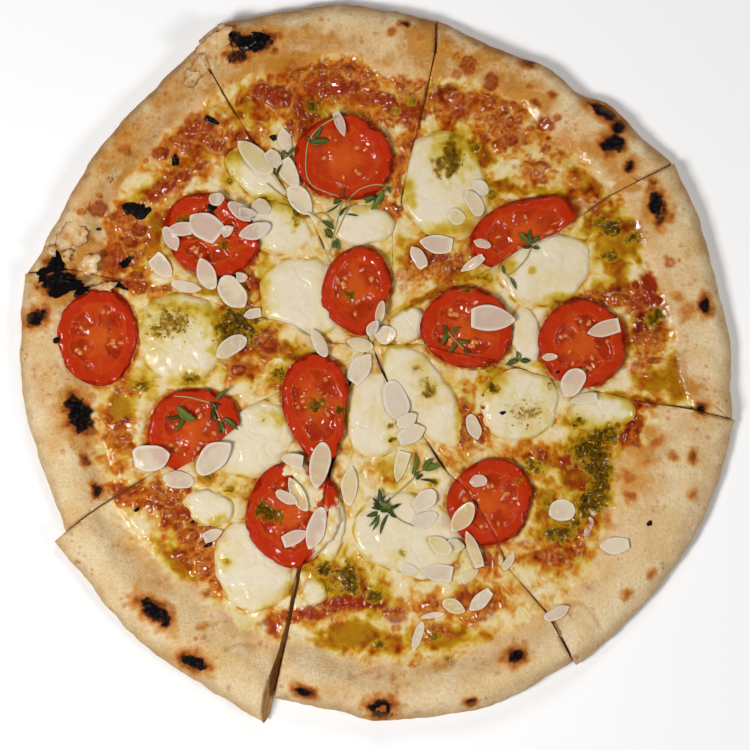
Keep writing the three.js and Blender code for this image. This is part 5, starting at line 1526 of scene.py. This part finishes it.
def tomato_piece(number, spec, slice_name, name):
    """A tomato slice: a nearly flat round cut with a thick outer wall, sunken chambers of gel and seeds
    around a core, raised walls between them, and a rounded skin edge; trimmed to the slice it lies on, with
    cheese run over one."""
    slope, chambers, deep = spec[5:]
    shape = tomato_shape(number)
    middle, half = shape[:2]
    set_back = CLOSED_CUT if number in CLOSED_TOMATOES else SLAB_SET_BACK
    set_back = -OVERHANG if number == OVERHANGING else set_back
    room = slab_room(SLICE[slice_name], shape, set_back)
    inner = inner_point(room, middle, max(half))

    def chamber(x, y):
        share, angle = slab_share(x, y, shape)
        share = share + 0.08 * cloud(x, y, 7, 400 + number, 3)
        angle = angle + 0.25 * cloud(x, y, 8, 410 + number, 3)
        wall = np.full(np.shape(x), 9.0)
        for direction in chambers:
            wall = np.minimum(wall, np.abs(off_angle(angle, direction)))
        width = np.pi / len(chambers) * 0.85
        ring = ease(0.2, 0.36, share) * (1 - ease(0.6, 0.7, share))
        return ring * (1 - ease(width * 0.55, width, wall)), share, angle

    def surface(x, y):
        hollow, share, angle = chamber(x, y)
        side = np.clip(room(x, y), 0, None)
        base = TOMATO_FLOOR + TOMATO_HEIGHT - 1.5
        tilt = slope[0] * (x - middle[0]) + slope[1] * (y - middle[1])
        lip = 0.5 * ease(0.55, 0.8, share)
        around = np.clip(slab_polar(x, y, shape)[2] * (1 - share), 0, None)
        drop = 2.6 * np.exp(-(around / 0.8) ** 1.5) + 4 * max(set_back, 0) * np.exp(-(side / 0.5) ** 2)
        sag = 0.9 * cloud(x, y, 14, 420 + number, 2) + 0.2 * cloud(x, y, 3.4, 425 + number, 2)
        seeds = seed_dots(number, shape, chambers, deep, x, y)
        cover = cheese_cover(x, y)
        sunk = (deep * hollow - 0.45 * seeds * hollow) * (1 - cover)
        return base + tilt + lip + sag - sunk - drop + 0.3 * cover

    grid_size = TOMATO_CUT_GRID if name.endswith("_cut") else TOMATO_GRID
    points, quads, polygon = slab(room, inner, surface, TOMATO_FLOOR, grid_size, 2.4 * max(half))
    x, y, z = points.T
    hollow, share, angle = chamber(x, y)
    patchy = cloud(x, y, 7, 431 + number, 3)
    tint = lay(TOMATO_CORE, TOMATO_FLESH, ease(0.1, 0.6, share + 0.2 * patchy))
    tint = lay(tint, TOMATO_RED, ease(0.55, 0.8, share + 0.15 * patchy))
    streak = ripple(angle * 9, share * 2.2, 1, 433 + number)
    tint = lay(tint, TOMATO_CORE, 0.6 * ease(0.1, 0.7, streak) * (1 - ease(0.55, 0.8, share)) * (1 - hollow))
    tint = lay(tint, TOMATO_GEL, 0.8 * min(deep + 0.1, 1) * hollow * (0.8 + 0.5 * patchy))
    tint = lay(tint, TOMATO_CORE, 0.4 * np.exp(-((share - 0.68) / 0.025) ** 2))
    seeds = seed_dots(number, shape, chambers, deep, x, y) * ease(0.2, 0.6, hollow)
    tint = lay(tint, SEED_PALE, 0.75 * ease(0.2, 0.8, seeds))
    tint = lay(tint, TOMATO_SKIN, ease(0.93, 0.99, share))
    thick = pesto_depth(x, y)
    tint = lay(tint, ramp(thick, PESTO_STOPS), ease(0.15, 0.6, thick) * 0.8)
    tint = lay(tint, ramp(0.1 + 0.25 * cloud(x, y, 4, 441, 2), MELT_STOPS), cheese_cover(x, y))
    wet = np.clip(0.5 + 0.5 * hollow + 0.3 * cloud(x, y, 5, 434, 2), 0, 1)
    stamp(points, tint)
    make_piece(name, points, quads, [polygon], tint, wet, CUT_TOMATO, name)


def join(pieces):
    """Points, faces and colours of several pieces as one, the face numbers moved on by the points before."""
    points, faces, tints = zip(*pieces)
    starts = np.cumsum([0] + [len(grid) for grid in points])
    moved = [quads + start for quads, start in zip(faces, starts)]
    return np.concatenate(points), np.concatenate(moved), np.concatenate(tints)


def there_and_back(upper, lower):
    """Rows of an upper face run on backwards along a lower one, as one grid round an edge."""
    return np.concatenate([upper, lower[:, ::-1][:, 1:]], 1)


def blade(x, y, height, body, tint):
    """A thin blade: a grid's two faces, half a thickness above and below its height, meeting at its long
    edges. Returns points, quads and colours."""
    faces = [np.stack([x, y, height + side * body], -1) for side in (1, -1)]
    loop = there_and_back(*faces)
    tint = there_and_back(tint, tint)
    return loop.reshape(-1, 3), shell_faces(*loop.shape[:2], True), tint.reshape(-1, 3)


def oval_scrap(x, y, height, body, tint):
    """A thin oval: rings out to its edge, where the upper and the lower face meet, half a thickness above and
    below its height. Returns points, quads and colours of both faces."""
    faces = []
    for side in (1, -1):
        grid = np.stack([x, y, height + side * body], -1)
        grid[:, -1] = grid[:, 0]
        faces.append((grid.reshape(-1, 3), shell_faces(*x.shape, side > 0), tint.reshape(-1, 3)))
    return join(faces)


FLAKE_HALF_THICKNESS = 0.18
STEM_RADIUS = 0.38


def flake_grid(number, at, length, width, turn):
    """One almond flake: an oval grid drawn out to a point at one end and sometimes broken off straight at the
    other, curled a little, laid on a plane through the ground under it, streaked, with a painted highlight on
    its rim."""
    t = np.linspace(-1, 1, 19)[:, None]
    s = np.linspace(-1, 1, 9)[None]
    lot = np.random.default_rng(500 + number)
    broken = lot.uniform(-0.85, -0.4) if lot.random() < 0.35 else -1
    t = broken + (1 - broken) * (np.sin(t * np.pi / 2) + 1) / 2
    s = np.sin(s * np.pi / 2)
    half = width / 2 * np.clip(1 - t ** 2, 0, 1) ** blend(0.5, 0.8, ease(-0.2, 1, t)) * 1.04
    half = half * (1 + 0.05 * np.sin(4 * t + number))
    px = (t - (1 + broken) / 2) * length / (1 - broken) + 0 * s
    py = half * s + 0.05 * width * np.sin(2 * t + number)
    turned = np.radians(turn + (180 if lot.random() < 0.5 else 0))
    x, y = turn_to(px, py, -turned)
    middle = place(at)
    bed = ground_height(x + middle[0], y + middle[1])
    flat = np.stack([x.ravel(), y.ravel(), np.ones(x.size)], -1)
    plane = np.linalg.lstsq(flat, bed.ravel(), rcond=None)[0]
    plane[:2] = np.clip(plane[:2], -0.35, 0.35)
    rest = x * plane[0] + y * plane[1]
    rest = rest + np.quantile(bed - rest, 0.97)
    curl = lot.uniform(0, 1.1) * (px / length * 2) ** 2 + lot.uniform(-0.3, 0.8) * (py / width * 2) ** 2
    curl = curl + lot.uniform(0, 0.05) * (px + length / 2)
    height = rest + curl + 0.05
    x = x + middle[0]
    y = y + middle[1]
    inset = (t - broken) / (1 - broken) * 2 - 1
    body = FLAKE_HALF_THICKNESS * np.sqrt(np.clip((1 - s ** 4) * (1 - inset ** 6), 0, 1))
    rim = np.maximum(ease(0.7, 1, np.abs(s)) + 0 * t, ease(0.75, 1, np.abs(inset)) + 0 * s)
    streak = 0.5 + 0.5 * ripple(px * 0.5, py * 2.5, 2, 520 + number)
    shade = np.clip(lot.uniform(-0.2, 1) + 0.3 * streak - 0.15, 0, 1)
    soaked = lot.uniform(0, 0.8) * (lot.random() < 0.45)
    tint = lay(lay(ALMOND_IVORY, ALMOND_ROSE, shade), ALMOND_OILY, soaked + 0 * shade)
    tint = lay(tint, ground_colour(x, y), 0.22 * (1 - rim))
    # Painted highlight on the flake's rim
    tint = lay(tint, ALMOND_RIM_HIGHLIGHT, 0.75 * rim)
    stamp(np.stack([x, y, height + body], -1).reshape(-1, 3), tint.reshape(-1, 3))
    return blade(x, y, height, body, tint)


def almond_flakes():
    """All the flakes as one mesh, each laid on the ground that the ones before it have raised."""
    points, quads, tint = join([flake_grid(number, *flake) for number, flake in enumerate(FLAKES)])
    make_piece("almond_flakes", points, quads, [], tint, 0.35, SLICED_ALMOND)


# A twenty-faced grain: corners on three golden rectangles, and its faces
GOLDEN = (1 + 5 ** 0.5) / 2
GRAIN_CORNERS = np.array([
    (-1, GOLDEN, 0), (1, GOLDEN, 0), (-1, -GOLDEN, 0), (1, -GOLDEN, 0), (0, -1, GOLDEN), (0, 1, GOLDEN),
    (0, -1, -GOLDEN), (0, 1, -GOLDEN), (GOLDEN, 0, -1), (GOLDEN, 0, 1), (-GOLDEN, 0, -1), (-GOLDEN, 0, 1),
]) / np.hypot(1, GOLDEN)
GRAIN_FACES = np.array([
    (0, 11, 5), (0, 5, 1), (0, 1, 7), (0, 7, 10), (0, 10, 11), (1, 5, 9), (5, 11, 4), (11, 10, 2), (10, 7, 6),
    (7, 1, 8), (3, 9, 4), (3, 4, 2), (3, 2, 6), (3, 6, 8), (3, 8, 9), (4, 9, 5), (2, 4, 11), (6, 2, 10),
    (8, 6, 7), (9, 8, 1),
])


def pesto_grains():
    """Chopped herb and nut: uneven twenty-faced grains strewn over the pesto, darker where it lies thick,
    sunk a little in the ground."""
    lot = np.random.default_rng(600)
    places = []
    for px, py, half_x, half_y, turn, thick in PESTO:
        count = int(half_x * half_y * (0.45 + 0.9 * thick)) + 12
        spot = lot.normal(0, 0.6, (count, 2)) * np.array([half_x, half_y])
        places.append(place(np.array([px, py]) + spot))
    places = np.concatenate(places)
    thick = pesto_depth(places[:, 0], places[:, 1])
    kept = lot.random(len(places)) < 0.2 + thick
    for at, length, width, turn in FLAKES:
        along, aside = turn_to(*(places - place(at)).T, np.radians(turn))
        kept = kept & (np.hypot(along / length, aside / width) > 0.5)
    places = places[kept]
    thick = thick[kept]
    count = len(places)
    size = np.exp(lot.normal(-1.5, 0.45, count)) * (0.8 + 0.5 * thick)
    corners = len(GRAIN_CORNERS)
    stretch = lot.uniform(0.45, 1.9, (count, 1, 3)) * np.array([1, 1, 0.6])
    jitter = lot.uniform(0.7, 1.3, (count, corners, 1))
    height = ground_height(places[:, 0], places[:, 1]) + 0.05 * size
    middle = np.concatenate([places, height[:, None]], 1)
    points = middle[:, None] + GRAIN_CORNERS[None] * stretch * jitter * size[:, None, None]
    faces = GRAIN_FACES[None] + corners * np.arange(count)[:, None, None]
    faces = faces.reshape(-1, 3)
    quads = np.concatenate([faces, faces[:, 2:]], 1)
    tint = ramp(0.05 + 0.55 * thick + 0.4 * lot.random(count), PESTO_STOPS)
    tint = np.where((lot.random(count) < 0.05)[:, None], NUT_GOLD, tint)
    tint = np.where((lot.random(count) < 0.1 * thick ** 2)[:, None], HERB_DARK, tint)
    tint = np.repeat(tint, corners, 0)
    make_piece("pesto_grains", points.reshape(-1, 3), quads, [], tint, 0.0, CHOPPED_PESTO)


def burnt_leaves():
    """Blackened scraps of leaf: uneven ovals, cupped, laid on the ground."""
    rho = np.linspace(0, 1, 7)[:, None]
    phi = np.linspace(0, 2 * np.pi, 25)[None]
    scraps = []
    for number, (px, py, half_x, half_y, turn) in enumerate(BURNT_LEAVES):
        wave = 1 + 0.08 * np.sin(3 * phi + number) + 0.06 * np.sin(5 * phi + 2 * number)
        along = half_x * MM_PER_POINT * rho * wave * np.cos(phi)
        aside = half_y * MM_PER_POINT * rho * wave * np.sin(phi)
        dx, dy = turn_to(along, aside, -np.radians(turn))
        middle = place((px, py))
        x = middle[0] + dx
        y = middle[1] + dy
        rest = np.quantile(ground_height(x, y), 0.75) + 0.25
        cup = 0.5 * rho ** 2 * np.cos(2 * phi + number) + 0.25 * cloud(x, y, 2, 800 + number, 2)
        tint = lay(CHAR_BLACK, CHAR_BROWN, np.clip(0.3 * cloud(x, y, 2, 811, 2), 0, 1))
        scraps.append(oval_scrap(x, y, rest + cup, 0.22 * (1 - rho ** 6), tint))
    points, quads, tint = join(scraps)
    make_piece("burnt_leaves", points, quads, [], tint, 0.3, THYME_GREEN)


def crust_scraps():
    """Torn scraps of the crust's skin: ovals with a jagged outline, bent up along their length, papery tan to
    black."""
    rho = np.linspace(0, 1, 9)[:, None]
    phi = np.linspace(0, 2 * np.pi, 41)[None]
    scraps = []
    for number, (px, py, half_x, half_y, turn, lift, burnt) in enumerate(SCRAPS):
        wave = 1 + 0.16 * np.sin(3 * phi + number) + 0.1 * np.sin(5 * phi + 2 * number)
        wave = wave + 0.07 * np.sin(11 * phi)
        along = rho * wave * np.cos(phi)
        aside = rho * wave * np.sin(phi)
        dx, dy = turn_to(half_x * along, half_y * aside, -np.radians(turn))
        middle = place((px, py))
        x = middle[0] + MM_PER_POINT * dx
        y = middle[1] + MM_PER_POINT * dy
        rest = np.quantile(ground_height(x, y), 0.6) + 0.1
        bend = lift * (0.5 * (along + np.cos(number)) ** 2 - 0.4 * aside ** 2)
        bend = bend + 0.3 * cloud(x, y, 3, 820 + number, 2)
        paper = lay(CRUST_FLOUR, CRUST_AMBER, np.clip(0.5 + 0.7 * cloud(x, y, 5, 830 + number, 3), 0, 1))
        edge = ease(0.55, 1, rho + 0.25 * cloud(x, y, 3, 840 + number, 2))
        paper = lay(paper, CRUST_TAN, 0.5 * edge)
        black = np.clip(burnt + 0.3 * cloud(x, y, 2.5, 850 + number, 2) - 0.15, 0, 1)
        paper = lay(paper, CHAR_BLACK, ease(0.2, 0.6, black))
        scraps.append(oval_scrap(x, y, rest + bend, 0.15 * (1 - rho ** 6), paper))
    points, quads, tint = join(scraps)
    make_piece("crust_scraps", points, quads, [], tint, 0.15, BAKED_DOUGH)


def stem_tube(stem):
    """A thin stem: a ring of six carried along a smooth path that lies on the ground, closed at its ends
    by shrinking to a point. Returns points, quads and colours."""
    t = np.linspace(0, 1, 16 * len(stem))
    path = spline(place(stem), t)
    height = ground_height(path[:, 0], path[:, 1])
    height = np.maximum(height, smoothed(height)) + 0.8 * STEM_RADIUS
    turn = np.linspace(0, 2 * np.pi, 7)
    thin = STEM_RADIUS * np.sqrt(np.clip(1 - (2 * t - 1) ** 20, 0, 1)) * (1 - 0.35 * t)
    xy = path[:, None] + across(path)[:, None] * (np.cos(turn)[None, :, None] * thin[:, None, None])
    z = height[:, None] + np.sin(turn)[None] * thin[:, None]
    grid = np.concatenate([xy, z[..., None]], -1)
    grid[:, -1] = grid[:, 0]
    return grid.reshape(-1, 3), shell_faces(len(t), len(turn), True), np.tile(STEM_TAN, (z.size, 1))


def leaf_blade(number, leaf):
    """A narrow leaf: an oval grid from its foot to its tip, folded a little along its pale rib and rising
    from the ground. Returns points, quads and colours."""
    start, end = place([leaf[:2], leaf[2:4]])
    t = np.linspace(0, 1, 11)[:, None]
    s = np.linspace(-1, 1, 7)[None]
    way = end - start
    length = np.hypot(*way)
    way = way / length
    lot = np.random.default_rng(700 + number)
    wide = 1.25 * leaf[4] * MM_PER_POINT * np.sin(np.pi * t ** 0.85) ** 0.75
    bow = lot.uniform(-0.14, 0.14) * length * np.sin(np.pi * t)
    x = start[0] + way[0] * length * t - way[1] * (wide * s + bow)
    y = start[1] + way[1] * length * t + way[0] * (wide * s + bow)
    flat = np.quantile(ground_height(x, y), 0.8)
    rise = flat + 0.4 + 1.2 * lot.random() * t ** 1.5 + 0.5 * wide * np.abs(s) - 0.5 * t ** 4
    body = 0.16 * (1 - s ** 6) * (1 - (2 * t - 1) ** 10)
    rib = np.exp(-(s / 0.2) ** 2) + 0 * t
    pale = np.clip(0.35 * leaf[4] - 0.3 + lot.normal(0, 0.2), 0, 1)
    tint = lay(lay(LEAF_DARK, LEAF_PALE, pale), LEAF_RIB, 0.3 * rib)
    return blade(x, y, rise, body, tint)


def thyme_piece(number, stems, leaves):
    """One sprig: its stems and leaves joined in one mesh."""
    pieces = [stem_tube(stem) for stem in stems]
    pieces += [leaf_blade(30 * number + count, leaf) for count, leaf in enumerate(leaves)]
    points, quads, tint = join(pieces)
    name = "thyme_%d" % number
    make_piece(name, points, quads, [], tint, 0.3, THYME_GREEN, name)


for part in SLICE.values():
    dough_piece(part)
for part in SLICE.values():
    melt_piece(part)
for number, spec in enumerate(MOZZARELLA, 1):
    mozzarella_piece(number, spec[0])
for number, spec in enumerate(TOMATOES, 1):
    for order, slice_name in enumerate(spec[0]):
        name = "tomato_%d%s" % (number, "_cut" if order else "")
        tomato_piece(number, spec, slice_name, name)
close_ground()
almond_flakes()
pesto_grains()
burnt_leaves()
crust_scraps()
for number, (stems, leaves) in enumerate(THYME, 1):
    thyme_piece(number, stems, leaves)


# Lamps: name, power in watts, size and place in metres; floor and camera in metres, sensor in millimetres
LAMPS = [
    ("key_lamp", 8.45, 0.26, (-0.52, -0.3, 0.85)),
    ("right_lamp", 6.6, 0.4, (1.05, -0.35, 1.0)),
    ("back_lamp", 4.65, 0.4, (0.1, 1.1, 1.0)),
]
FLOOR_HALF = 3
FLOOR_LEVEL = -0.0005
CAMERA_DISTANCE = 1.2
CAMERA_SENSOR = 36
MEAN_HEIGHT = 0.009


def pale_floor():
    """A flat pale floor that glows away from its middle, so that it stays pale when seen from the side."""
    mesh = bpy.data.meshes.new("floor")
    corners = [(x * FLOOR_HALF, y * FLOOR_HALF, FLOOR_LEVEL) for x, y in ((-1, -1), (1, -1), (1, 1), (-1, 1))]
    mesh.from_pydata(corners, [], [(0, 1, 2, 3)])
    floor = bpy.data.objects.new("floor", mesh)
    bpy.context.scene.collection.objects.link(floor)
    paint = bpy.data.materials.new("pale_floor")
    paint.use_nodes = True
    tree = paint.node_tree
    shader = tree.nodes["Principled BSDF"]
    set_inputs(shader, {"Base Color": (0.95, 0.95, 0.95, 1), "Roughness": 0.9, "Emission Strength": 1})
    where = add_node(tree, "ShaderNodeTexCoord")
    round_fade = add_node(tree, "ShaderNodeTexGradient", gradient_type="SPHERICAL")
    glow = add_node(tree, "ShaderNodeValToRGB")
    far, near = glow.color_ramp.elements
    far.color = (0.5, 0.5, 0.5, 1)
    near.position = 0.6
    near.color = (0, 0, 0, 1)
    wire(
        tree, (where, "Object", round_fade, "Vector"), (round_fade, "Fac", glow, "Fac"),
        (glow, "Color", shader, "Emission Color"),
    )
    mesh.materials.append(paint)


def studio():
    """Faint even sky, soft lamps from the front left, the right and behind, and a camera straight above."""
    scene = bpy.context.scene
    scene.world = bpy.data.worlds.new("studio_sky")
    scene.world.use_nodes = True
    set_inputs(scene.world.node_tree.nodes["Background"], {"Color": (1, 1, 1, 1), "Strength": 0.06})
    for name, energy, size, spot in LAMPS:
        lamp_data = bpy.data.lights.new(name, "AREA")
        lamp_data.energy = energy
        lamp_data.size = size
        lamp = bpy.data.objects.new(name, lamp_data)
        lamp.location = spot
        lamp.rotation_euler = Vector(spot).to_track_quat("Z", "Y").to_euler()
        scene.collection.objects.link(lamp)
    camera_data = bpy.data.cameras.new("camera")
    frame_width = PICTURE_SIZE * MM_PER_POINT * METRE
    camera_data.sensor_width = CAMERA_SENSOR
    camera_data.lens = CAMERA_SENSOR * CAMERA_DISTANCE / frame_width
    camera = bpy.data.objects.new("camera", camera_data)
    look = place((PICTURE_SIZE / 2, PICTURE_SIZE / 2)) * METRE
    camera.location = (look[0], look[1], CAMERA_DISTANCE + MEAN_HEIGHT)
    scene.collection.objects.link(camera)
    scene.camera = camera
    scene.view_settings.view_transform = "Standard"


pale_floor()
studio()
